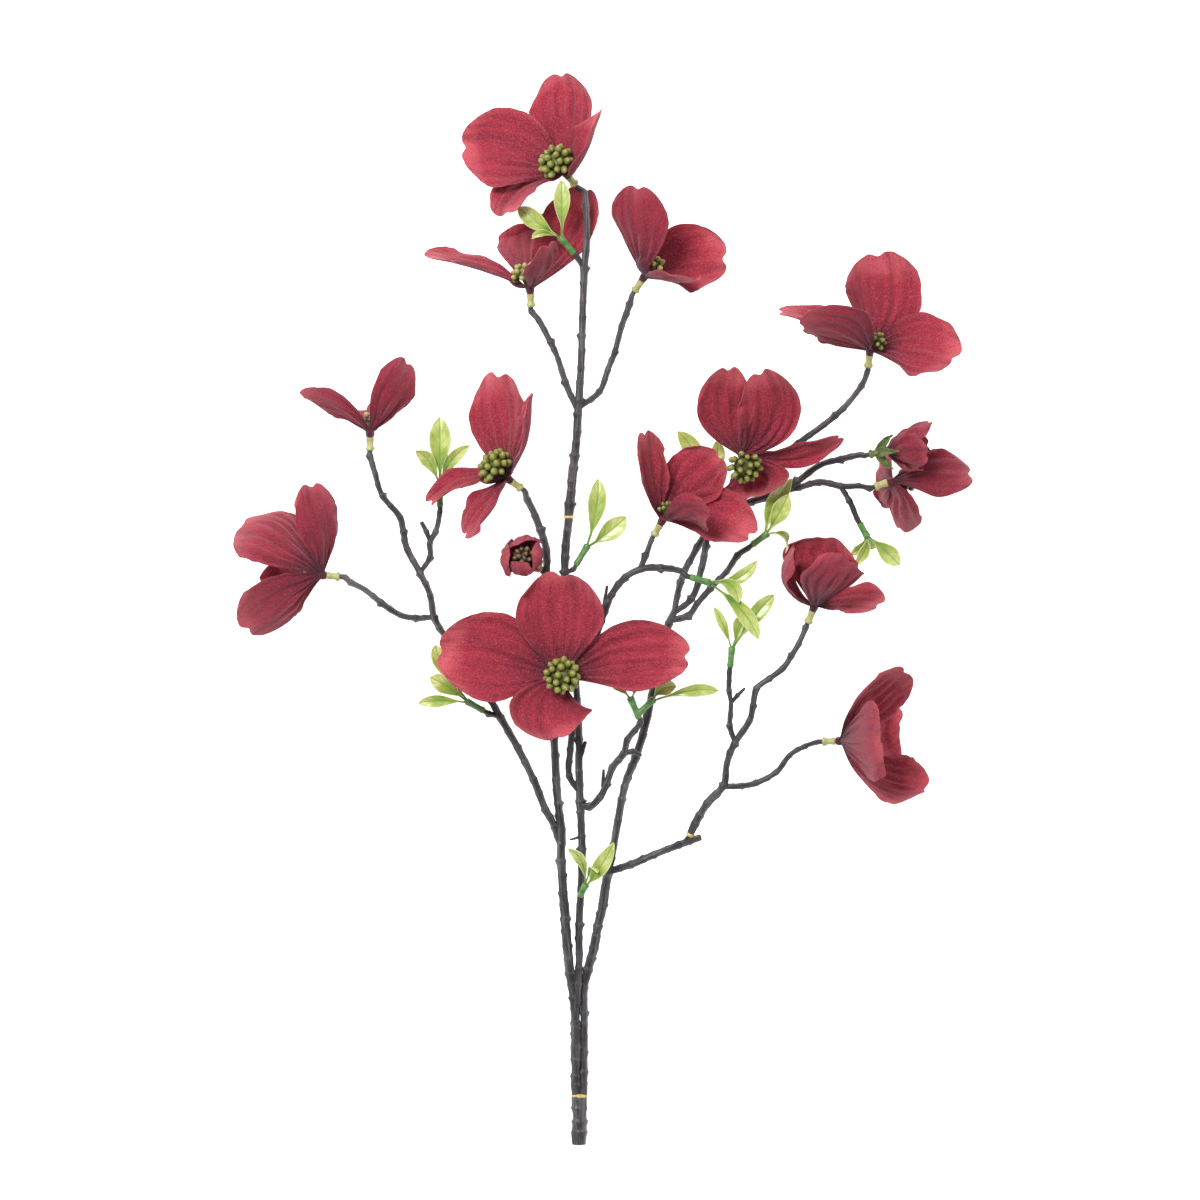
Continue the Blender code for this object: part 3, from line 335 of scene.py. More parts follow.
MAIN_BRANCH = {
    "left_limb": [
        (-15.2, -244, 5.6, 2.0), (-15.2, -234, 6.6, 2.5), (-15, -219, 9, 2.6), (-15.5, -207, 11.5, 2.4),
        (-16, -194, 14, 2.5), (-18, -182, 17, 2.4), (-19.5, -168, 20.5, 2.4), (-20.5, -154, 24, 2.4),
        (-21.5, -141, 27, 2.3), (-22.5, -125, 31, 2.2), (-22.5, -109, 34, 2.2), (-24, -96, 36, 2.1),
        (-25, -84, 38, 2.1), (-26, -62, 41, 2.0), (-27, -46, 42, 1.9), (-28, -29, 43, 1.9),
        (-29, -8, 44, 1.9), (-29.5, 18, 46, 1.8), (-30, 31, 47, 1.8), (-33, 41, 48, 1.8),
        (-35.5, 48, 48, 1.8), (-39.5, 56, 48, 1.7), "bloom_09",
    ],
    "middle_limb": [
        (-15, -206, 11.5, 1.5), (-14, -187, 17, 1.9), (-13.5, -172, 20, 1.9), (-13.5, -157, 24, 1.8),
        (-12.5, -139, 28, 1.8), (-12, -119, 32, 1.9), (-12.5, -107, 34, 1.9), (-13, -95, 36, 2.0),
        (-13.5, -80, 38, 1.9), (-13.5, -64, 40, 1.9), (-14.5, -44, 42, 1.8), (-16, -24, 44, 1.8),
        (-19, -4, 46, 1.9), (-20.5, 20, 48, 1.9), (-20, 33, 48, 2.1), (-18.6, 46.6, 48, 2.2),
    ],
    "right_limb": [
        (-11.4, -244, 5.6, 1.9), (-11.2, -232, 6.6, 2.0), (-11, -214, 9.5, 1.9), (-11, -202, 12, 1.8),
        (-11, -189, 14, 2.0), (-9, -180, 16.5, 2.3), (-6, -169, 19, 2.3), (-4, -158, 21.5, 2.2),
        (-1.5, -147, 24, 2.3), (1, -131, 27, 2.3), (4, -117, 30, 2.0), (8, -94, 33, 2.0),
        (11, -83, 34, 2.0), (15, -73, 35, 2.0), (21, -52, 36, 1.9), (24.5, -34, 37, 1.9),
        (28.5, -19, 38, 1.9), (31.5, -6, 39, 1.9), (34.5, 0, 39.5, 1.8),
    ],
    "back_left_limb": [
        (-22.7, -118, 32.5, 1.6), (-26, -108, 34, 1.9), (-30.5, -99, 35, 1.9), (-36.5, -84, 37, 1.8),
        (-44.5, -68, 39, 1.8), (-53, -53, 41, 1.8), (-58, -44, 42, 1.7), (-68, -29, 43, 1.7),
        (-79.5, -14, 44, 1.7), (-86, -3, 44, 1.8), (-88, 8, 44, 1.6), (-93, 19, 44, 1.7),
        (-99.5, 31, 44, 1.6), (-101.5, 40, 44, 1.6), (-103, 47, 44, 1.6), (-112, 58, 44, 1.5),
        (-115.5, 69, 44, 1.5), "bloom_10",
    ],
    "twig_to_bloom_11": [
        (-86, -3, 44, 1.4), (-95.5, -3.5, 43, 1.6), (-103, -2, 42, 1.5), (-113, 4.5, 41, 1.6),
        (-120.5, 10.5, 40, 1.4), (-128, 14.5, 39, 1.5), "bloom_11",
    ],
    "twig_to_sprig_02": [
        (-93, 19, 44, 1.2), (-88, 27, 45, 1.4), (-88, 34, 45, 1.4), (-85, 40, 46, 1.4),
        "leaf_sprig_02",
    ],
    "stub_on_sprig_02": [(-88, 35, 45, 1.1), (-90, 40, 46, 1.2), (-92, 44, 46, 1.1)],
    "twig_to_sprig_04": [(-53, -53, 41, 1.2), "leaf_sprig_04"],
    "twig_to_bud": [(-29.5, 17, 46, 1.2), "bud"],
    "twig_to_bloom_12": [
        (-13.2, -91, 36.5, 1.4), (-18.5, -82, 39, 1.5), (-17.8, -69, 42, 1.6), (-17, -55, 44, 1.5),
        (-19.5, -42, 45, 1.5), "bloom_12",
    ],
    "twig_to_sprig_03": [(-20.5, 19, 48, 1.2), "leaf_sprig_03"],
    "twig_to_sprig_05": [
        (-13, -97, 36, 1.6), (-8, -98, 38, 1.7), (-3, -93, 40, 1.8), (0.5, -86, 42, 1.7),
        (3.5, -78, 43, 1.8), (9, -71, 45, 1.7), (11, -64, 46, 1.7), "leaf_sprig_05",
    ],
    "stub_on_sprig_05": [(9.5, -71, 45, 1.2), (13.5, -70.5, 45, 1.2), (17, -72, 43, 1.2)],
    "twig_a_to_bloom_05": [
        (34, -1, 39.4, 1.4), (37.5, 15, 36, 1.7), (42, 25, 33, 1.8), (50, 38, 31, 1.8),
        (66, 52, 33, 1.9), (80, 57, 36, 1.8), (88, 60, 38, 1.9), (96, 65, 41, 1.7),
        (107, 73, 44, 1.6), (118, 76, 46, 1.5), (127, 78, 48, 1.4), "bloom_05",
    ],
    "twig_to_bloom_06": [
        (87, 60, 38, 1.3), (97, 62, 38, 1.6), (107, 64.5, 38, 1.6), (118, 62.5, 37, 1.5),
        (127, 62.5, 36.3, 1.3), "bloom_06",
    ],
    "twig_to_sprig_08": [(117, 62.8, 37, 1.2), (122, 55, 37, 1.4), "leaf_sprig_08"],
    "twig_b_to_bloom_04": [
        (34, -1, 39.4, 1.4), (43, 6.5, 41, 1.6), (48, 22, 42, 1.7), (50, 33, 42, 1.6),
        (53, 45.5, 42, 1.6), (64.5, 65, 42, 1.6), (77, 72.5, 41, 1.5), (89.5, 79.5, 42, 1.6),
        (102, 88, 42, 1.5), (115, 98, 42, 1.6), (122, 105, 42, 1.4), (128, 113, 42, 1.5),
        "bloom_04",
    ],
    "twig_to_bloom_07": [(66.5, 66.5, 42, 1.2), (67.5, 74, 42, 1.3), "bloom_07"],
    "twig_to_sprig_06": [(56.5, 51, 42, 1.1), "leaf_sprig_06"],
    "twig_c_to_sprig_07": [
        (32, -5, 39, 1.4), (41.5, -2, 41, 1.7), (46, 4, 42, 1.5), (52.5, 11.5, 43, 1.6),
        (60.5, 20, 44, 1.5), (66, 28, 45, 1.5), "leaf_sprig_07",
    ],
    "lower_right_twig": [
        (1, -131, 27, 1.8), (13, -127, 29, 1.9), (24.5, -122, 31, 2.0), (37, -117, 33, 1.8),
        (47, -113.5, 34, 1.9),
    ],
    "plug_peg": [(38.5, -116.7, 33.2, 1.1), (42, -112.3, 35, 1.2)],
    "arching_twig": [
        (-14.8, -31, 43, 1.4), (-9, -22, 46, 1.7), (-4, -10, 50, 1.7), (-0.5, 0, 54, 1.8),
        (3, 8.5, 56, 1.7), (10, 17, 58, 1.8), (18, 21, 59, 1.8), (28, 21.5, 60, 1.7),
        (37, 20, 59, 1.5), "leaf_sprig_09",
    ],
    "twig_to_bloom_08": [(17, 21, 59, 1.3), (20, 28, 58.5, 1.5), "bloom_08"],
    "thorn": [(-12, -113, 33, 0.9), (-17.5, -114.5, 34, 0.5)],
    "bud_scar_1": [(-13.3, -75, 39, 1.2), (-10.5, -66, 41, 1.0)],
    "bud_scar_2": [(-1.5, 0, 54, 1.0), (0.5, 12, 56, 0.7)],
    "bud_scar_3": [(-1.5, -88, 41, 1.0), (-1.2, -80, 42, 0.7)],
}

TOP_BRANCH = {
    "top_limb": [
        (-18.5, 47.4, 48, 2.4), (-18, 54, 48, 2.3), (-17, 65, 48, 2.2), (-15.5, 78, 47.5, 2.1),
        (-14.5, 90, 47, 2.2), (-13.5, 106, 46, 2.0), (-12.5, 122, 44.5, 1.8), (-12, 138, 43, 1.8),
        (-11.5, 155, 41, 1.7), (-10.8, 172, 39, 1.8), (-9.5, 188, 37, 1.6), (-10, 203, 34.5, 1.6),
        (-11, 210, 33, 1.4), "bloom_01",
    ],
    "twig_to_bloom_02": [
        (-14, 99, 46.5, 1.4), (-20.5, 115, 45, 1.6), (-24, 126, 43.5, 1.5), (-28, 135, 42, 1.6),
        (-34, 146, 39, 1.5), "bloom_02",
    ],
    "twig_to_bloom_03": [
        (-13, 102, 46, 1.4), (-3, 110, 45, 1.6), (1, 121, 44, 1.5), (4.5, 130, 43, 1.6),
        (8, 143, 41.5, 1.5), (12, 154, 40, 1.6), "bloom_03",
    ],
    "twig_to_sprig_01": [(-11, 171, 39, 1.2), "leaf_sprig_01"],
}

RIGHT_BRANCH = {
    "right_spray": [
        (42.4, -111.4, 35.5, 2.0), (47, -102, 37, 2.0), (51, -96, 38, 2.0), (59, -87, 39, 1.8),
        (60.5, -76, 41, 1.7), (64.5, -66, 43, 1.7), (72, -54.5, 44, 1.6), (73.5, -47, 45, 1.5),
        (75.5, -38.5, 46, 1.6), (82, -33.5, 46, 1.4), (88.5, -28.5, 46, 1.5), (93, -22, 45, 1.4),
        (96.5, -16, 44, 1.4), "bloom_13",
    ],
    "twig_to_bloom_14": [
        (58, -88, 39, 1.4), (68.5, -87.5, 39, 1.5), (75.5, -86, 39.5, 1.6), (85.5, -80.5, 40, 1.4),
        (92, -72, 41, 1.4), (100, -67.5, 41, 1.3), "bloom_14",
    ],
    "twig_to_sprig_10": [
        (64.5, -66, 43, 1.1), (62, -57, 44, 1.3), (62.5, -47, 45, 1.2), (61.5, -39.5, 46, 1.3),
        "leaf_sprig_10",
    ],
    "stub_on_sprig_10": [(62.5, -46, 45, 0.9), (66, -42, 46, 1.0), (69, -39, 46, 0.8)],
}

print("stretches:", sum(len(branch) for branch in (MAIN_BRANCH, TOP_BRANCH, RIGHT_BRANCH)) + 1)

# %% [markdown]
# ## Colours and material nodes
#
# Colours are written as they would be picked from a screen, in sRGB hex, and Blender works in
# linear light, so one function turns one into the other. Another adds a node of any kind with its
# settings and links. The small ones after it stand for the few groups of nodes that come back
# again and again, so that each material reads from top to bottom as a recipe.

# %% Helpers for materials
MIXED_COLOUR = 2        # the number of a Mix node's colour output


def linear(hex_colour):
    """An sRGB hex colour as the linear RGBA that a shader wants."""
    parts = [int(hex_colour[i:i + 2], 16) / 255 for i in (1, 3, 5)]
    return (*[c / 12.92 if c <= 0.04045 else ((c + 0.055) / 1.055) ** 2.4 for c in parts], 1.0)


def add_node(tree, kind, settings=None, output=0, **links):
    """Add a node and hand back one of its outputs.

    settings are the node's properties. A link is an input's name, or i and its number, with the
    socket that is joined to it or the value it takes.
    """
    made = tree.nodes.new("ShaderNode" + kind)
    for name, value in (settings or {}).items():
        setattr(made, name, value)
    for name, value in links.items():
        key = int(name[1:]) if name[1:].isdigit() else name.replace("_", " ")
        if isinstance(value, bpy.types.NodeSocket):
            tree.links.new(value, made.inputs[key])
        else:
            made.inputs[key].default_value = value
    return made.outputs[output]


def maths(tree, operation, first, second=0.5, third=0.5):
    """Arithmetic on one, two or three values, each a socket or a number."""
    return add_node(tree, "Math", {"operation": operation}, i0=first, i1=second, i2=third)


def ranged(tree, value, low, high, at_low, at_high):
    """The span from low to high of a value, stretched to run from at_low to at_high."""
    return add_node(tree, "MapRange", Value=value, i1=low, i2=high, i3=at_low, i4=at_high)


def mixed(tree, share, below, above):
    """A hex colour laid over the colour below it, by a share."""
    return add_node(tree, "Mix", {"data_type": "RGBA"}, MIXED_COLOUR,
                    i0=share, i6=below, i7=linear(above))


def ramp(tree, value, *stops):
    """Colours along a value: each stop is (place, hex colour)."""
    colour = add_node(tree, "ValToRGB", Fac=value)
    elements = colour.node.color_ramp.elements
    for _ in stops[2:]:
        elements.new(0.5)
    for number, (place, hex_colour) in enumerate(stops):
        elements[number].position = place
        elements[number].color = linear(hex_colour)
    return colour


def coordinates(tree):
    """The ways across and along of the piece's UV map, and its object coordinates."""
    place = add_node(tree, "UVMap", {"uv_map": "UVMap"})
    ways = add_node(tree, "SeparateXYZ", Vector=place).node.outputs
    return ways["X"], ways["Y"], add_node(tree, "TexCoord", output="Object")


def speckle(tree, own, size_mm, detail=2.0):
    """A noise in object coordinates whose features are about this wide."""
    return add_node(tree, "TexNoise", Vector=own, Scale=1 / (size_mm * MM), Detail=detail)


def shifted(tree, value, noise_value, reach):
    """A value moved up or down by a noise, by half the reach at most."""
    return maths(tree, "ADD", value, maths(tree, "MULTIPLY_ADD", noise_value, reach, -reach / 2))


def from_midrib(tree, sideways):
    """0 on the midrib and 1 at both edges."""
    return maths(tree, "ABSOLUTE", maths(tree, "MULTIPLY_ADD", sideways, 2.0, -1.0))


def waves(tree, value, count):
    """So many waves while the value goes from 0 to 1."""
    return maths(tree, "SINE", maths(tree, "MULTIPLY", value, count * math.tau))


def start_material(name, roughness, **fixed):
    """A new material with its tree and shader; the fixed values go on the shader's own sockets."""
    made = bpy.data.materials.new(name)
    made.use_nodes = True
    shader = made.node_tree.nodes["Principled BSDF"]
    shader.inputs["Roughness"].default_value = roughness
    for key, value in fixed.items():
        shader.inputs[key.replace("_", " ")].default_value = value
    return made, made.node_tree, shader


def finish_material(tree, shader, colour, *reliefs):
    """Join the colour, and the reliefs one on another: each is (height socket, depth in mm)."""
    tree.links.new(colour, shader.inputs["Base Color"])
    normal = None
    for height, depth in reliefs:
        below = {"Normal": normal} if normal else {}
        normal = add_node(tree, "Bump", Strength=1.0, Distance=depth * MM, Height=height, **below)
    tree.links.new(normal, shader.inputs["Normal"])


# %% [markdown]
# ## Petal fabric
#
# The petals are woven polyester, dyed and heat-set in a mould. The dye runs from almost black
# purple at the root, through crimson, to coral where the fabric was handled and heated, along the
# rim and at the tip, and the black at the root is partly painted shade under the head. The mould
# leaves lengthwise pleats, with painted shade in their bottoms and a painted highlight on their
# ridges. The back is a little duller and has a pale midrib where glue and wire run under the cloth.
#
# An image could carry this, but a pattern of nodes stays sharp at any distance. The petal's own
# UV map has the root at 0 and the tip at 1 one way, and the two edges at 0 and 1 the other way, so
# streaks drawn in it fan out from the root by themselves, as the pleats do.

# %% The two sides of the petal fabric
STREAKS_ACROSS = 13     # streaks of relief, painted shade and painted highlight lie in the pleats, about 2.5 mm apart on a petal 33 mm wide
STREAKS_ALONG = 1.6
THREADS_ACROSS = 60     # a thread each 0.55 mm: real ones are 0.2 mm, too fine to show
THREADS_ALONG = 1.3 * THREADS_ACROSS
DYE_CLOUD_MM = 18.18
FLECK_MM = 0.7143       # crossings of threads catch the light: drawn coarser than they are


def petal_fabric(name, root, deep, body, light, rim, rib=None):
    made, tree, shader = start_material(name, 0.72, Sheen_Weight=0.12, Sheen_Roughness=0.5,
                                        Specular_IOR_Level=0.25)
    sideways, along, own = coordinates(tree)
    # The dye runs along the petal, from a root darkened partly by painted shade, and clouds of uneven
    # dye shift it
    cloud = speckle(tree, own, DYE_CLOUD_MM)
    dyed = ramp(tree, shifted(tree, along, cloud, 0.5),
                (0.0, root), (0.12, deep), (0.36, body), (0.78, light), (1.0, rim))
    # Streaks: a noise squeezed across the petal and drawn out along it, unlike on each petal; it is
    # a relief in the bump, with painted shade where it is low and a painted highlight where it is high
    fan = add_node(tree, "CombineXYZ", X=maths(tree, "MULTIPLY", sideways, STREAKS_ACROSS),
                   Y=maths(tree, "MULTIPLY", along, STREAKS_ALONG),
                   Z=maths(tree, "MULTIPLY", cloud, 1.5))
    pleat_relief_and_shading = add_node(tree, "TexNoise", Vector=fan, Scale=1.0, Detail=3.0, Roughness=0.6)
    # painted shade where the streaks are low, and a painted highlight where they are high
    dyed = mixed(tree, ranged(tree, pleat_relief_and_shading, 0.28, 0.50, 0.55, 0.0), dyed, deep)
    dyed = mixed(tree, ranged(tree, pleat_relief_and_shading, 0.56, 0.78, 0.0, 0.22), dyed, rim)
    # The rim: how near a point is to either edge, past the narrow root
    offset = from_midrib(tree, sideways)
    edge = ranged(tree, offset, 0.86, 1.0, 0.0, 0.3)
    past_root = maths(tree, "GREATER_THAN", along, 0.3)
    dyed = mixed(tree, maths(tree, "MULTIPLY", edge, past_root), dyed, rim)
    if rib:
        line = ranged(tree, offset, 0.012, 0.045, 0.6, 0.0)
        fade = ranged(tree, along, 0.2, 0.5, 0.8, 0.0)
        dyed = mixed(tree, maths(tree, "MULTIPLY", line, fade), dyed, rib)
    # The weave: warp and weft as two sets of fine waves in the relief; a fine noise gives pale flecks,
    # painted glints where threads cross, and dark specks
    warp, weft = waves(tree, sideways, THREADS_ACROSS), waves(tree, along, THREADS_ALONG)
    weave = maths(tree, "MULTIPLY", warp, weft)
    speck = speckle(tree, own, FLECK_MM)
    # painted glints in the pale flecks, then darker specks
    dyed = mixed(tree, ranged(tree, speck, 0.5, 0.72, 0.0, 0.5), dyed, rim)
    dyed = mixed(tree, ranged(tree, speck, 0.3, 0.48, 0.5, 0.0), dyed, deep)
    finish_material(tree, shader, dyed, (pleat_relief_and_shading, 0.6), (weave, 0.06), (speck, 0.12))
    return made


FABRIC_FRONT = petal_fabric("woven_polyester_petal_front",
                            "#28101F", "#561023", "#861D32", "#9F293B", "#C65660")
FABRIC_BACK = petal_fabric("woven_polyester_petal_back",
                           "#2B1730", "#541326", "#7D1D31", "#93273A", "#AE4452", rib="#A67C92")
print("petal fabric:", FABRIC_FRONT.name, FABRIC_BACK.name)

# %% [markdown]
# ## Moulded plastics
#
# The buds, sleeves, sockets and bark are soft polyethylene, moulded in a cut steel mould. It has a
# low sheen, about 0.4 to 0.5 rough, and the colour is never quite even because each colour is
# sprayed or dipped after moulding. Bumps in object coordinates keep one size on every piece.

# %% Plastics of the buds, sleeves, sockets, bark and glue
BUD_BLOTCH_MM = 2.381
BARK_GROOVES = 11.0     # lengthwise grooves round a stem
BARK_PIT_MM = 1.1111
BARK_PATCH_MM = 14.286


def moulded(name, dark, light, roughness, grain_mm, depth_mm, coat=0.0):
    """Sprayed soft plastic: a fine grain, and blotches about three times as wide."""
    made, tree, shader = start_material(name, roughness, Coat_Weight=coat, Coat_Roughness=0.35)
    own = add_node(tree, "TexCoord", output="Object")
    colour = ramp(tree, speckle(tree, own, grain_mm / 0.35, 3.0), (0.32, dark), (0.68, light))
    finish_material(tree, shader, colour, (speckle(tree, own, grain_mm), depth_mm))
    return made


def bud_plastic(name, low, middle, high):
    """Buds are darkened with painted shade where they meet, green on the shoulder and yellowish on top,
    up their UV map.
    """
    made, tree, shader = start_material(name, 0.42, Subsurface_Weight=0.08, Subsurface_Scale=0.002)
    _, height, own = coordinates(tree)
    blotch = speckle(tree, own, BUD_BLOTCH_MM)
    # painted shade at the foot of each bud, where it meets the others
    colour = ramp(tree, shifted(tree, height, blotch, 0.5), (0.25, low), (0.55, middle), (0.9, high))
    finish_material(tree, shader, colour, (blotch, 0.15))
    return made


def bark_plastic(name):
    """Bark: dark grey brown with the sheen of a coat, lengthwise grooves whose ridges carry a painted
    bluish highlight, and small pits.
    """
    made, tree, shader = start_material(name, 0.44, Coat_Weight=0.2, Coat_Roughness=0.35)
    around, along, own = coordinates(tree)
    lengthwise = add_node(tree, "CombineXYZ", X=maths(tree, "MULTIPLY", around, BARK_GROOVES),
                          Y=maths(tree, "MULTIPLY", along, 0.35))
    groove = add_node(tree, "TexNoise", Vector=lengthwise, Scale=1.0, Detail=4.0, Roughness=0.65)
    pits = speckle(tree, own, BARK_PIT_MM, 3.0)
    patch = speckle(tree, own, BARK_PATCH_MM)
    colour = ramp(tree, patch, (0.3, "#1C1817"), (0.55, "#2C282B"), (0.75, "#46454D"))
    # a painted highlight in pale bluish grey on the raised ridges between the grooves
    colour = mixed(tree, ranged(tree, groove, 0.48, 0.7, 0.0, 0.75), colour, "#767478")
    finish_material(tree, shader, colour, (groove, 1.6), (pits, 0.3))
    return made


BUD_GREEN = bud_plastic("moulded_polyethylene_olive_buds", "#2E320E", "#666A2A", "#8F9048")
STAMEN_BROWN = bud_plastic("moulded_polyethylene_brown_stamens", "#24180E", "#4E3A26", "#74604A")
STAMEN_GREEN = bud_plastic("moulded_polyethylene_yellow_stamens", "#4A4A22", "#8C8A48", "#B4AC68")
SLEEVE_PLASTIC = moulded("moulded_polyethylene_pale_sleeve", "#8E9154", "#B5B276", 0.45, 0.8, 0.08)
SEPAL_PLASTIC = moulded("moulded_polyethylene_olive_sepal", "#46532A", "#66743A", 0.5, 0.8, 0.1)
SOCKET_PLASTIC = moulded("moulded_polyethylene_green_socket", "#3D6B30", "#64904C", 0.4, 0.9, 0.08, 0.1)
BARK = bark_plastic("moulded_polyethylene_bark")
GLUE = moulded("dried_hot_melt_glue", "#A8843C", "#D8BC78", 0.3, 1.2, 0.1, 0.3)
print("plastics:", BUD_GREEN.name, BARK.name)

# %% [markdown]
# ## Leaf fabric
#
# The leaves are thin cloth dipped in a green plastic coating, which leaves them slightly glossy.
# They are bright yellow green, darker along the midrib and its side veins, and paler at the rim
# where the coating is thin. The veins are drawn in the leaf's own UV map.

# %% Coated leaf with veins
VEIN_PAIRS = 6
VEIN_SWEEP = 0.22       # how far a side vein runs towards the tip before it meets the rim
LEAF_PATCH_MM = 7.6923


def leaf_coating(name):
    made, tree, shader = start_material(name, 0.34, Subsurface_Weight=0.1, Subsurface_Scale=0.002,
                                        Coat_Weight=0.25, Coat_Roughness=0.2)
    sideways, along, own = coordinates(tree)
    offset = from_midrib(tree, sideways)
    patch = speckle(tree, own, LEAF_PATCH_MM)
    green = ramp(tree, shifted(tree, along, patch, 1.2),
                 (0.0, "#48782E"), (0.25, "#76963A"), (0.55, "#98A94C"), (0.9, "#BDC67A"))
    # Side veins are waves along the leaf that lag behind towards its rim
    swept = maths(tree, "SUBTRACT", along, maths(tree, "MULTIPLY", offset, VEIN_SWEEP))
    side_vein = ranged(tree, waves(tree, swept, VEIN_PAIRS), 0.8, 1.0, 0.0, 0.35)
    midrib = ranged(tree, offset, 0.03, 0.14, 0.6, 0.0)
    veins = maths(tree, "MAXIMUM", side_vein, midrib)
    green = mixed(tree, veins, green, "#5F8A34")
    green = mixed(tree, ranged(tree, offset, 0.82, 1.0, 0.0, 0.6), green, "#CFD99A")
    finish_material(tree, shader, green, (veins, -0.25), (patch, 0.3))
    return made


LEAF_COATING = leaf_coating("coated_cloth_leaf")
print("leaf coating:", LEAF_COATING.name)

# %% [markdown]
# ## Shaping a grid
#
# Petals, leaves and stretches of bark are all sheets that are bent or rolled. Each starts as
# Blender's own grid primitive, whose UV map comes with it, and every point of the grid is moved to
# its place by a rule. Pulling the points by hand would give the same kind of shape, but sixty
# petals would then each have to be pulled, and they would not lie on the CAD model.

# %% A grid moved point by point, and small helpers for finished pieces
def select_only(*things):
    bpy.ops.object.select_all(action="DESELECT")
    for thing in things:
        thing.select_set(True)
    bpy.context.view_layer.objects.active = things[0]


def shaped_grid(name, columns, rows, place, crowd=1.0, root_crowd=1.0):
    """A grid of columns by rows. place(u, v) gives each point: u from root to tip, v from -1 to 1."""
    bpy.ops.mesh.primitive_grid_add(x_subdivisions=columns, y_subdivisions=rows, size=2)
    piece = bpy.context.object
    piece.name = name
    mesh = piece.data
    spots = []
    for corner in mesh.vertices:
        u = ((corner.co.y + 1) / 2) ** root_crowd
        v = math.copysign(abs(corner.co.x) ** crowd, corner.co.x)
        spots.append((u, v))
        corner.co = place(u, v) * MM
    layer = mesh.uv_layers.active.data
    for loop in mesh.loops:
        u, v = spots[loop.vertex_index]
        layer[loop.index].uv = ((v + 1) / 2, u)
    return piece


def give_wall(piece, thickness, *finishes):
    """Thicken a sheet to both sides. The first finish is on the back, the second on the front."""
    for finish in finishes:
        piece.data.materials.append(finish)
    wall = piece.modifiers.new("Wall", "SOLIDIFY")
    wall.thickness = thickness * MM
    wall.offset = 0
    wall.material_offset = len(finishes) - 1
    select_only(piece)
    bpy.ops.object.modifier_apply(modifier=wall.name)
    return piece


def close_and_turn_out(piece):
    """Merge doubled points, fill open ends, and turn all faces outwards, in edit mode."""
    select_only(piece)
    bpy.ops.object.mode_set(mode="EDIT")
    bpy.ops.mesh.select_all(action="SELECT")
    bpy.ops.mesh.remove_doubles(threshold=0.000001)
    bpy.ops.mesh.fill_holes(sides=0)
    bpy.ops.mesh.select_all(action="SELECT")
    bpy.ops.mesh.normals_make_consistent(inside=False)
    bpy.ops.object.mode_set(mode="OBJECT")
    return piece


def joined(name, pieces):
    """One object of several pieces, whose place is in its mesh, with smooth shading."""
    select_only(*pieces)
    bpy.ops.object.transform_apply(location=True, rotation=True, scale=True)
    if len(pieces) > 1:
        bpy.ops.object.join()
    whole = bpy.context.object
    whole.name = name
    whole.data.name = name
    bpy.ops.object.shade_smooth_by_angle(angle=math.radians(50))
    return whole


def stands_for(piece, node):
    """The finished piece rides on the one body and takes the node's place."""
    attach(piece, "root")
    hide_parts(node)


# %% Rules for curves that the CAD model was made with
def spine(root, via, tip, s):
    """Point and direction on the curve that leaves the root, passes through via and ends at the tip."""
    bend = 2 * via - (root + tip) / 2
    point = (1 - s) ** 2 * root + 2 * s * (1 - s) * bend + s * s * tip
    heading = 2 * (1 - s) * (bend - root) + 2 * s * (tip - bend)
    return point, heading.normalized()


def across(point, heading, side, v, half, roll, tilt):
    """Step sideways from the midrib along an arc whose ends are rolled to the inner face."""
    wide = (side - heading * side.dot(heading)).normalized()
    inner = heading.cross(wide)
    leaned = wide * math.cos(tilt) + inner * math.sin(tilt)
    inner = heading.cross(leaned)
    arc = max(roll, 0.01)
    sideways = half * math.sin(arc * v) / arc
    upward = half * (1 - math.cos(arc * v)) / arc
    return point + leaned * sideways + inner * upward, inner


def frame_along(direction):
    """A rotation that takes +Z to the given direction."""
    return direction.to_track_quat("Z", "Y").to_matrix().to_4x4()


# %% [markdown]
# ## Petals
#
# Each real petal is a die-cut piece of cloth, pressed between two warm moulds, which leaves it
# cupped, pleated and notched at the tip, with a rim that has frayed and ruffled since. The CAD
# petal has the cup, the bend, the notch and the large wave. The finer one adds what the eye meets
# next: about six pleats that fan out from the root, a midrib that is a groove in front and a
# ridge behind, a ruffle along the rim and an uneven cut edge.

# %% The finer petal
PETAL_COLUMNS = 36
PETAL_ROWS = 44
PLEAT_MM = 6.5
PLEAT_DEPTH = 0.8
RIB_DEPTH = 0.75
RIB_WIDTH = 1.1
RUFFLE_DEPTH = 0.45
RUFFLE_MM = 13.0
FRAY = 0.007
TIP_CURL = 2.4
SOFTNESS = 2.0
CLEAR_BELOW = 0.8       # millimetres under the hub from where petals keep off the sleeve
LEAST_SHARE = 0.2
WIDEST_AT = 0.64
TIP_ROUNDING = 0.20
CLEFT_WIDTH = 0.16
EDGE_WAVES = 9.0


def petal_half_width(u):
    """Share of the half width: narrow at the hub, widest near two thirds, round at the tip."""
    rise = math.sin(math.pi / 2 * min(u / WIDEST_AT, 1.0)) ** 1.2
    fall = 1 - 0.19 * max(0.0, (u - WIDEST_AT) / (1 - WIDEST_AT)) ** 2
    return (0.08 + 0.92 * rise) * fall


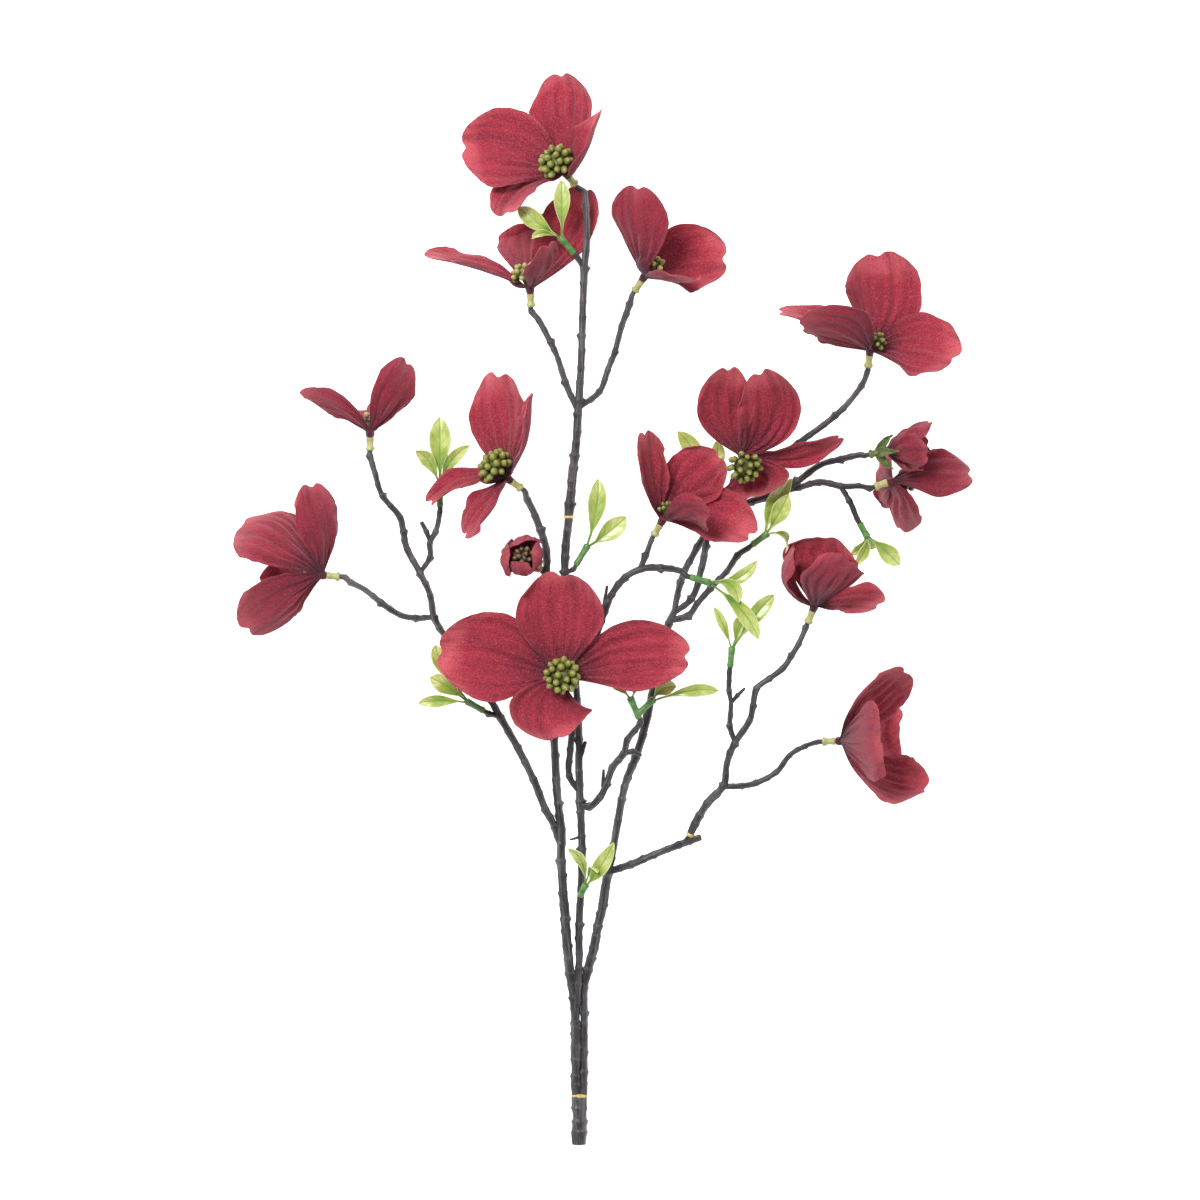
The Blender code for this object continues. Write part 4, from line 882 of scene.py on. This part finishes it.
def fine_relief(petal, u, v, half, length, seed):
    """Height over the smooth petal, towards the inner face, in millimetres."""
    wandering = noise.noise(Vector((seed, 2.2 * u, 1.5 * v)))
    fan = v * petal.width / (2 * PLEAT_MM) + 0.45 * wandering
    strength = math.sin(math.pi * min(u * 1.15, 1.0)) ** 0.7 * (0.6 + 0.8 * abs(wandering))
    pleat = PLEAT_DEPTH * strength * math.cos(math.tau * fan)
    rib = -RIB_DEPTH * math.exp(-(v * half / RIB_WIDTH) ** 2) * (1 - 0.8 * u)
    ruffle_turn = math.tau * u * length / RUFFLE_MM + 5.0 * noise.noise(Vector((seed, 3 * u, v)))
    ruffle = RUFFLE_DEPTH * abs(v) ** 5 * u * math.sin(ruffle_turn)
    soft = SOFTNESS * noise.noise(Vector((2.5 * u, 1.6 * v, seed + 9.0))) * u
    curl = TIP_CURL * noise.noise(Vector((seed, 5.0, 1.2 * v))) * max(0.0, (u - 0.75) / 0.25) ** 2
    return pleat + rib + ruffle + soft + curl


def petal_point(bloom, petal, level, u, v, phase, seed):
    root = bloom.hub + bloom.faces * level
    side = bloom.faces.cross(petal.via - bloom.hub).normalized()
    rounding = TIP_ROUNDING * abs(v) ** 2.4 * u
    cleft = petal.notch * math.exp(-((v / CLEFT_WIDTH) ** 2)) * u ** 6
    uneven = FRAY * noise.noise(Vector((seed, 9 * u, 6 * v))) * u ** 4
    point, heading = spine(root, petal.via, petal.tip, u * (1 - rounding - cleft + uneven))
    edge_noise = noise.noise(Vector((seed + 3.0, 14 * u, math.copysign(1, v))))
    frayed = 1 + FRAY * 1.6 * edge_noise * abs(v) ** 4
    half = petal.width / 2 * petal_half_width(u) * frayed
    tilt = petal.turn + petal.twist * u
    point, inner = across(point, heading, side, v, half, petal.roll * min(1.0, u * 3), tilt)
    edge_wave = petal.wave * math.sin(EDGE_WAVES * u + phase + 2.0 * math.copysign(1, v))
    edge_wave *= abs(v) ** 2 * u
    length = (petal.tip - bloom.hub).length
    return point + inner * (edge_wave + fine_relief(petal, u, v, half, length, seed))


def kept_clear(bloom, point):
    """Bend a petal's point clear of the head, the sleeve and the table."""
    centre = bloom.head_centre()
    stand_off = bloom.stand_off()
    offset = point - centre
    along = offset.dot(bloom.faces)
    beside = (offset - bloom.faces * along).length
    share = math.hypot(beside / (bloom.head_radius + stand_off), along / (bloom.head_depth + stand_off))
    if share < 1:
        point = centre + offset / max(share, LEAST_SHARE)
    below = (bloom.hub - point).dot(bloom.twig)
    if below > CLEAR_BELOW:
        foot = bloom.hub - bloom.twig * below
        clear = SLEEVE_COLLAR + GAP + FABRIC_THICK
        if (point - foot).length < clear:
            point = foot + (point - foot).normalized() * clear
    point.z = max(point.z, FABRIC_THICK / 2)
    return point


def fine_petal(bloom, index, seed):
    petal = bloom.petals[index]
    level = CROSS_LEVELS[index % 2]

    def place(u, v):
        return kept_clear(bloom, petal_point(bloom, petal, level, u, v, 1.7 * index, seed))

    sheet = shaped_grid("petal", PETAL_COLUMNS, PETAL_ROWS, place, crowd=1.25, root_crowd=1.1)
    return give_wall(sheet, FABRIC_THICK, FABRIC_BACK, FABRIC_FRONT)


# %% [markdown]
# ## Hubs, bark and other tubes
#
# Hubs, sleeves, sockets and bark are all round in section and follow a line. A bevelled curve
# would do for a plain wire, but it can't carry rings and scars at their places, so a grid is
# rolled round the line instead: one way of the grid runs along it and the other goes round it.

# %% A grid rolled round a line
def rolled_grid(name, stations, sides, finish, lengthwise=0.1, relief=None):
    """stations are (centre, radius) in order. The tube's seam is merged and its ends are filled.

    In the UV map a millimetre along the tube counts as lengthwise. relief(index, run, angle) gives
    what is added to the radius, as a share of it.
    """
    count = len(stations)
    centres = [centre for centre, _ in stations]
    side = None
    frames = []
    run = 0.0
    for index, (centre, radius) in enumerate(stations):
        before, after = centres[max(index - 1, 0)], centres[min(index + 1, count - 1)]
        heading = (after - before).normalized()
        side = side or heading.orthogonal()
        side = (side - heading * side.dot(heading)).normalized()
        run += (centre - centres[max(index - 1, 0)]).length
        frames.append((centre, side, heading.cross(side), radius, run))

    def place(u, v):
        index = min(count - 1, round(u * (count - 1)))
        centre, across_way, up_way, radius, run = frames[index]
        angle = math.pi * v
        if relief:
            radius *= 1 + relief(index, run, angle)
        spot = centre + (across_way * math.cos(angle) + up_way * math.sin(angle)) * radius
        spot.z = max(spot.z, 0.02)
        return spot

    tube = shaped_grid(name, sides, count - 1, place)
    for corner in tube.data.uv_layers.active.data:
        corner.uv.y = frames[min(count - 1, round(corner.uv.y * (count - 1)))][4] * lengthwise
    tube.data.materials.append(finish)
    return close_and_turn_out(tube)


def tapered(start, way, profile):
    """Stations of a turned piece: profile is a list of (distance along, radius)."""
    return [(start + way * distance, radius) for distance, radius in profile]


HUB_SIDES = 16


def fine_hub(bloom):
    """The small boss that the petals are threaded on, dark as the petals' roots are with dye and painted
    shade.
    """
    stations = [(bloom.hub - bloom.twig * HUB_BELOW, 1.8), (bloom.hub - bloom.twig * 0.9, 2.1),
                (bloom.hub, 2.2), (bloom.hub + bloom.faces * 1.4, 2.0),
                (bloom.hub + bloom.faces * HUB_ABOVE, 1.3)]
    return rolled_grid("hub", stations, HUB_SIDES, FABRIC_BACK, lengthwise=0.02)


# %% Make the petals of all blooms
every_bloom = {**{name: (bloom, name + "_bud_head") for name, bloom in BLOOMS.items()},
               "closed_bud": (BUD, "closed_bud_stamens")}
petal_pieces = {}
for number, (name, (bloom, _)) in enumerate(every_bloom.items()):
    parts = [fine_petal(bloom, index, 7.3 * number + 1.9 * index) for index in range(len(bloom.petals))]
    whole = joined(name + "_cloth", [fine_hub(bloom)] + parts)
    stands_for(whole, name + "_petals")
    petal_pieces[name] = whole
print("petal pieces:", len(petal_pieces), "faces in one:", len(petal_pieces["bloom_01"].data.polygons))

# %% [markdown]
# ## Heads of small buds
#
# A dogwood's true flowers are the small round buds in the middle. Here they are one moulded
# cluster. One bud is modelled once, as a ball that is drawn out and pinched to a point, and copied
# to each place on the head. The places follow the golden angle, which spaces them evenly without
# rows. Each copy has its own size, so the head looks grown rather than turned.

# %% One bud, and its copies on each head
HEAD_SPREAD = 1.45      # the underside of a head, towards its stalk, has no buds
HEAD_REACH = 1.05
BUD_VARIES = 0.3
SLIM_BUDS = {"bloom_07": 0.85}
OLIVE_HEADS = ("bloom_01", "bloom_04", "bloom_06", "bloom_07", "bloom_08", "bloom_09", "bloom_12")


def bud_shape():
    """A ball, its top drawn out in edit mode to a blunt point."""
    bpy.ops.mesh.primitive_uv_sphere_add(segments=10, ring_count=7, radius=1.0)
    ball = bpy.context.object
    ball.name = "bud_shape"
    bpy.ops.object.mode_set(mode="EDIT")
    bpy.ops.mesh.select_all(action="DESELECT")
    bpy.ops.object.mode_set(mode="OBJECT")
    for corner in ball.data.vertices:
        corner.select = corner.co.z > 0.85
    bpy.ops.object.mode_set(mode="EDIT")
    bpy.ops.transform.translate(value=(0, 0, 0.16))
    bpy.ops.transform.resize(value=(0.8, 0.8, 1.0))
    bpy.ops.object.mode_set(mode="OBJECT")
    return ball


def bud_directions(count, spread):
    """Even directions over a head by the golden angle; spread 2 would cover all of it."""
    golden = math.pi * (3 - math.sqrt(5))
    for index in range(count):
        rise = 1 - spread * (index + 0.5) / count
        ring = math.sqrt(max(0.0, 1 - rise * rise))
        yield Vector((ring * math.cos(golden * index), ring * math.sin(golden * index), rise))


def fine_head(name, bloom, seed_bud, finish, shrink=1.0):
    """A core, a stalk to the hub and the bloom's buds, which may be smaller than its head's kind."""
    radius = bloom.bud_size * shrink
    centre = bloom.head_centre()
    turn = frame_along(bloom.faces)
    bpy.ops.mesh.primitive_ico_sphere_add(subdivisions=3, radius=1.0)
    core = bpy.context.object
    size = (bloom.head_radius * 0.8, bloom.head_radius * 0.8, bloom.head_depth * 0.75, 1)
    core.data.transform(Matrix.Scale(MM, 4) @ Matrix.Translation(centre) @ turn @ Matrix.Diagonal(size))
    core.data.materials.append(finish)
    foot = bloom.hub + bloom.faces * (HUB_ABOVE - 0.6)
    stalk = rolled_grid("stalk", [(foot, 1.0), (foot.lerp(centre, 0.4), 1.2), (centre, 2.0)], 10, finish)
    pieces = [core, stalk]
    half_axes = Vector((bloom.head_radius, bloom.head_radius, bloom.head_depth)) * HEAD_REACH
    for index, way in enumerate(bud_directions(bloom.bud_count, HEAD_SPREAD)):
        own = 1 + BUD_VARIES * noise.noise(Vector((3.7 * index, bloom.hub.x, 0)))
        taller = 1.15 + BUD_VARIES * noise.noise(Vector((2.9 * index, bloom.hub.y, 4.0)))
        grown = Matrix.Diagonal((radius * own, radius * own, radius * own * taller, 1))
        reach = way * half_axes
        outward = turn.to_3x3() @ Vector((way.x, way.y, way.z + 0.35)).normalized()
        seat = centre + turn.to_3x3() @ reach
        copy = bpy.data.objects.new("bud", seed_bud.data.copy())
        bpy.context.collection.objects.link(copy)
        set_in = Matrix.Translation(seat) @ frame_along(outward) @ grown
        copy.data.transform(Matrix.Scale(MM, 4) @ set_in)
        copy.data.materials.append(finish)
        pieces.append(copy)
    return joined(name, pieces)


seed_bud = bud_shape()
heads = {}
for name, (bloom, node) in every_bloom.items():
    finish = BUD_GREEN if name in OLIVE_HEADS else STAMEN_BROWN if bloom is BUD else STAMEN_GREEN
    heads[name] = fine_head(name + "_buds", bloom, seed_bud, finish, SLIM_BUDS.get(name, 1.0))
    stands_for(heads[name], node)
bpy.data.objects.remove(seed_bud)
print("heads:", len(heads))

# %% [markdown]
# ## Sleeves and sepals
#
# A pale sleeve joins each bloom to its twig. It is a turned shape: a collar that the twig is
# pushed into, a waist, and a cup under the petals. The half-open bloom has four sepals round its
# sleeve, made as the leaves are.

# %% Leaves and sepals
LEAF_COLUMNS = 12
LEAF_ROWS = 26
FOLD_DEPTH = 0.35
FOLD_WIDTH = 0.22
RIPPLE_DEPTH = 0.22
INSIDE_SLEEVE = 2.2
INSIDE_SOCKET = 1.5


def leaf_half_width(u):
    """Share of the half width of a leaf: a thin stalk, a belly past the middle and a point."""
    blade = max(0.0, (u - 0.22) / 0.78)
    stalk = 0.13 if u < 0.9 else 0.13 - 0.9 * (u - 0.9)
    return stalk + 0.82 * math.sin(math.pi * blade ** 1.1) ** 0.9 if 0 < blade < 1 else stalk


def sepal_half_width(u):
    """Share of the half width of a sepal: broad at its foot, drawn in to a point."""
    return (1 - u ** 1.6) * (0.75 + 0.25 * math.sin(math.pi * u)) + 0.02


def fine_leaf(root, leaf, finish, half_width=leaf_half_width):
    side = Vector((0, 0, 1)).cross(leaf.via - root).normalized()

    def place(u, v):
        point, heading = spine(root, leaf.via, leaf.tip, u)
        half = leaf.width / 2 * half_width(u)
        point, inner = across(point, heading, side, v, half, leaf.roll, leaf.turn)
        fold = -FOLD_DEPTH * math.exp(-(abs(v) / FOLD_WIDTH) ** 2) * math.sin(math.pi * u)
        ripple = RIPPLE_DEPTH * math.sin(6 * math.pi * u + 2 * v) * abs(v) ** 2
        point += inner * (fold + ripple)
        point.z = max(point.z, LEAF_THICK / 2)
        return point

    return give_wall(shaped_grid("leaf", LEAF_COLUMNS, LEAF_ROWS, place), LEAF_THICK, finish)


# %% Make the sleeves
# Millimetres up from the sleeve's foot, and radii
SLEEVE_PROFILE = [(0.0, 1.75), (0.25, 2.05), (0.7, 2.3), (1.3, 2.3), (1.7, 2.0), (2.1, 1.72),
                  (3.2, 1.66), (4.6, 1.74), (5.8, 1.9), (6.3, 2.0), (6.5, 1.85)]

for name, (bloom, _) in every_bloom.items():
    top = bloom.hub - bloom.twig * (HUB_BELOW + GAP)
    foot = top - bloom.twig * SLEEVE_LENGTH
    sepals = SEPALS.get(name, ())
    cup_plastic = SEPAL_PLASTIC if sepals else SLEEVE_PLASTIC
    parts = [rolled_grid("sleeve", tapered(foot, bloom.twig, SLEEVE_PROFILE), 20, cup_plastic)]
    sepal_root = top - bloom.twig * INSIDE_SLEEVE
    parts += [fine_leaf(sepal_root, sepal, SEPAL_PLASTIC, sepal_half_width) for sepal in sepals]
    # The neck is the wire end that passes from the sleeve into the hub
    neck = [(top - bloom.twig * 0.8, 1.2), (bloom.hub - bloom.twig * (HUB_BELOW - 0.5), 1.2)]
    parts.append(rolled_grid("neck", neck, 10, SLEEVE_PLASTIC))
    stands_for(joined(name + "_cup", parts), name + "_sleeve")
print("sleeves:", len(every_bloom))

# %% [markdown]
# ## Leafy sprigs
#
# A sprig is a green socket, pushed over the twig's end, with two to four leaves that grow out of
# its mouth. Each leaf is a shaped grid with a fold along its midrib.

# %% Make the sprigs
# Shares of the socket's length, and radii
SOCKET_PROFILE = [(0.0, 1.45), (0.06, 1.7), (0.14, 1.75), (0.2, 1.6), (0.55, 1.55), (0.85, 1.85),
                  (0.96, 1.9), (1.0, 1.6)]

for name, sprig in SPRIGS.items():
    parts = []
    for root, top, leaves in sprig.stalks:
        length = (top - root).length
        way = (top - root).normalized()
        profile = [(share * length, radius) for share, radius in SOCKET_PROFILE]
        parts.append(rolled_grid("socket", tapered(root, way, profile), 16, SOCKET_PLASTIC))
        parts += [fine_leaf(top - way * INSIDE_SOCKET, leaf, LEAF_COATING) for leaf in leaves]
    stands_for(joined(name + "_leaves", parts), name)
print("sprigs:", len(SPRIGS))

# %% [markdown]
# ## Bark
#
# The stem is moulded over wire. It is jointed like a real twig: every ten millimetres or so a
# raised ring goes round it, sharp on its upper side, with a slight waist above. Between the joints
# the CAD model is straight. Here the line bends smoothly through them, and the rings are narrow.

# %% A smooth line through the joints, with rings
BARK_SIDES = 16
BARK_STEP = 0.6
RING_HEIGHT = 0.5
RING_WIDTH = 1.2
SCAR_HEIGHT = 0.2
LONG_STRETCH = 9.0      # millimetres between joints from where a scar sits between them
ROUGHNESS = 0.2
PEG_BEFORE = 2.0
PEG_PAST = 1.2


def joints_of(stretch):
    """The joints as (centre, radius). A name at the end becomes a peg that goes into that piece."""
    stations = []
    for joint in stretch:
        if isinstance(joint, str):
            end, way = {"bud": BUD, **BLOOMS, **SPRIGS}[joint].twig_end()
            stations += [(end - way * PEG_BEFORE, TWIG_RADIUS), (end + way * PEG_PAST, TWIG_RADIUS)]
        else:
            stations.append((Vector(joint[:3]), joint[3]))
    return stations


def smooth_line(stations):
    """Points each BARK_STEP on a curve through the stations, with the radius between them."""
    places = [centre for centre, _ in stations]
    lengths = [(b - a).length for a, b in zip(places, places[1:])]
    ways = []
    for index in range(len(places)):
        low, high = max(index - 1, 0), min(index + 1, len(places) - 1)
        ways.append((places[high] - places[low]) / sum(lengths[low:high]))
    line = []
    run = 0.0
    for index, length in enumerate(lengths):
        steps = max(1, round(length / BARK_STEP))
        for step in range(steps + (index == len(lengths) - 1)):
            s = step / steps
            start, end = places[index], places[index + 1]
            pull_out, pull_in = ways[index] * length, ways[index + 1] * length
            point = ((2 * s ** 3 - 3 * s * s + 1) * start + (s ** 3 - 2 * s * s + s) * pull_out
                     + (3 * s * s - 2 * s ** 3) * end + (s ** 3 - s * s) * pull_in)
            radius = stations[index][1] * (1 - s) + stations[index + 1][1] * s
            line.append((point, radius, run + s * length))
        run += length
    return line


def bark_piece(stretch, seed):
    """One stretch: its rings stand out most on one side, where the real twig had a bud or a leaf."""
    stations = joints_of(stretch)
    rings, run = [], 0.0
    for index, ((a, _), (b, _)) in enumerate(zip(stations, stations[1:])):
        length = (b - a).length
        if index:
            rings.append((run, RING_HEIGHT if index % 2 else SCAR_HEIGHT))
        run += length
        if length > LONG_STRETCH:
            rings.append((run - 0.45 * length, SCAR_HEIGHT))
    line = smooth_line(stations)
    swells = []
    for _, _, reach in line:
        near = []
        for number, (place, height) in enumerate(rings):
            past = reach - place
            if abs(past) < 3 * RING_WIDTH:
                width = RING_WIDTH * (0.5 if past > 0 else 1.5)
                near.append((height * math.exp(-(past / width) ** 2), 2.4 * number + seed))
        swells.append(near)

    def relief(index, run, angle):
        spot = Vector((1.7 * math.cos(angle), 1.7 * math.sin(angle), run * 0.11 + seed))
        share = ROUGHNESS * noise.noise(spot)
        for height, bud_side in swells[min(index, len(swells) - 1)]:
            share += height * (0.45 + 1.1 * max(0.0, math.cos(angle - bud_side)) ** 3)
        return share

    grown = [(point, radius * 0.98) for point, radius, _ in line]
    if not isinstance(stretch[-1], str):
        end, before = grown[-1], grown[-2]
        way = (end[0] - before[0]).normalized()
        grown += [(end[0] + way * 0.5, end[1] * 0.85), (end[0] + way * 0.8, end[1] * 0.5)]
    return rolled_grid("bark", grown, BARK_SIDES, BARK, relief=relief)


# %% Make the branches
def make_branch(name, stretches, extra=()):
    parts = [bark_piece(stretch, index) for index, stretch in enumerate(stretches.values())]
    stands_for(joined(name + "_bark", parts + list(extra)), name)
    print(name, "stretches:", len(stretches))


# %% [markdown]
# ## Glue at the plug joints
#
# The two main limbs are pushed into the foot, and the top and right branches onto pegs. A bead of
# hot glue, dried yellow, sits round each joint. It is a short ring with an uneven edge.

# %% The beads of glue
def glue_bead(centre, way, radius, length, seed):
    profile = [(-0.5, 0.7), (-0.3, 1.02), (0.0, 1.12), (0.25, 1.06), (0.5, 0.7)]
    stations = tapered(centre, way.normalized(), [(share * length, r * radius) for share, r in profile])
    bead = rolled_grid("glue", stations, 18, GLUE)
    for corner in bead.data.vertices:
        shove = noise.noise(corner.co * 900 + Vector((seed, 0, 0)))
        corner.co += (corner.co - centre * MM).normalized() * shove * 0.5 * MM
    return bead


foot_glue = glue_bead(Vector((-13.3, -244.4, 5.3)), Vector((0, 1, 0.1)), 3.4, 2.2, 1.0)
top_glue = glue_bead(Vector((-18.6, 47.0, 48)), Vector((0, 1, 0)), 2.3, 2.0, 2.0)
right_glue = glue_bead(Vector((42.2, -112.0, 35.2)), Vector((0.5, 0.85, 0.2)), 1.9, 2.4, 3.0)

make_branch("stem_foot", {"foot": FOOT}, [foot_glue])
make_branch("main_branch", MAIN_BRANCH)
make_branch("top_branch", TOP_BRANCH, [top_glue])
make_branch("right_branch", RIGHT_BRANCH, [right_glue])

# %% [markdown]
# ## Floor, light and camera
#
# The photograph is a catalogue picture: pure white all round, light from every side and almost no
# shadow. A pale floor, a white world and two large soft lamps give that, with enough difference
# between the lamps for the pleats to show. The camera looks straight down from five metres with a
# long lens, so the spray that lies on the floor fills the picture as it does in the photograph.

# %% Floor
FLOOR_GLOW = 0.75       # the paper gives some light of its own, which takes the shadows off it
bpy.ops.mesh.primitive_plane_add(size=8, location=(0, 0, -0.0005))
floor = bpy.context.object
floor.name = "floor"
floor_finish, _, floor_shader = start_material("white_paper_floor", 0.9)
floor_shader.inputs["Base Color"].default_value = linear("#FAFAFA")
floor_shader.inputs["Emission Color"].default_value = linear("#FFFFFF")
floor_shader.inputs["Emission Strength"].default_value = FLOOR_GLOW
floor.data.materials.append(floor_finish)
print("floor:", floor.name, "glow", FLOOR_GLOW)

# %% Light
WORLD_LIGHT = 0.5
world = bpy.data.worlds.new("studio")
bpy.context.scene.world = world
world.use_nodes = True
world.node_tree.nodes["Background"].inputs["Color"].default_value = linear("#FFFFFF")
world.node_tree.nodes["Background"].inputs["Strength"].default_value = WORLD_LIGHT


def soft_lamp(name, place, size, power):
    lamp = bpy.data.lights.new(name, "AREA")
    lamp.shape = "DISK"
    lamp.size = size
    lamp.energy = power
    made = bpy.data.objects.new(name, lamp)
    bpy.context.collection.objects.link(made)
    made.location = place
    made.rotation_euler = (-Vector(place)).to_track_quat("-Z", "Y").to_euler()


soft_lamp("key_lamp", (-0.9, 1.2, 2.4), 1.0, 84)
soft_lamp("fill_lamp", (1.8, -0.6, 2.0), 2.0, 10)
print("lamps:", len(bpy.data.lights))

# %% Camera
LENS_MM = 300
SENSOR_MM = 36
FRAME_WIDTH = 0.600
MIDDLE_HEIGHT = 0.045
PICTURE_MIDDLE = (-0.003, 0.0055)

camera_data = bpy.data.cameras.new("camera")
camera_data.lens = LENS_MM
camera_data.sensor_width = SENSOR_MM
camera = bpy.data.objects.new("camera", camera_data)
bpy.context.collection.objects.link(camera)
camera.location = (*PICTURE_MIDDLE, MIDDLE_HEIGHT + FRAME_WIDTH * LENS_MM / SENSOR_MM)
bpy.context.scene.camera = camera

# The picture is shown as a catalogue camera shows it: white paper is full white, with no film curve
bpy.context.scene.view_settings.view_transform = "Standard"
print("camera height", round(camera.location.z, 3))
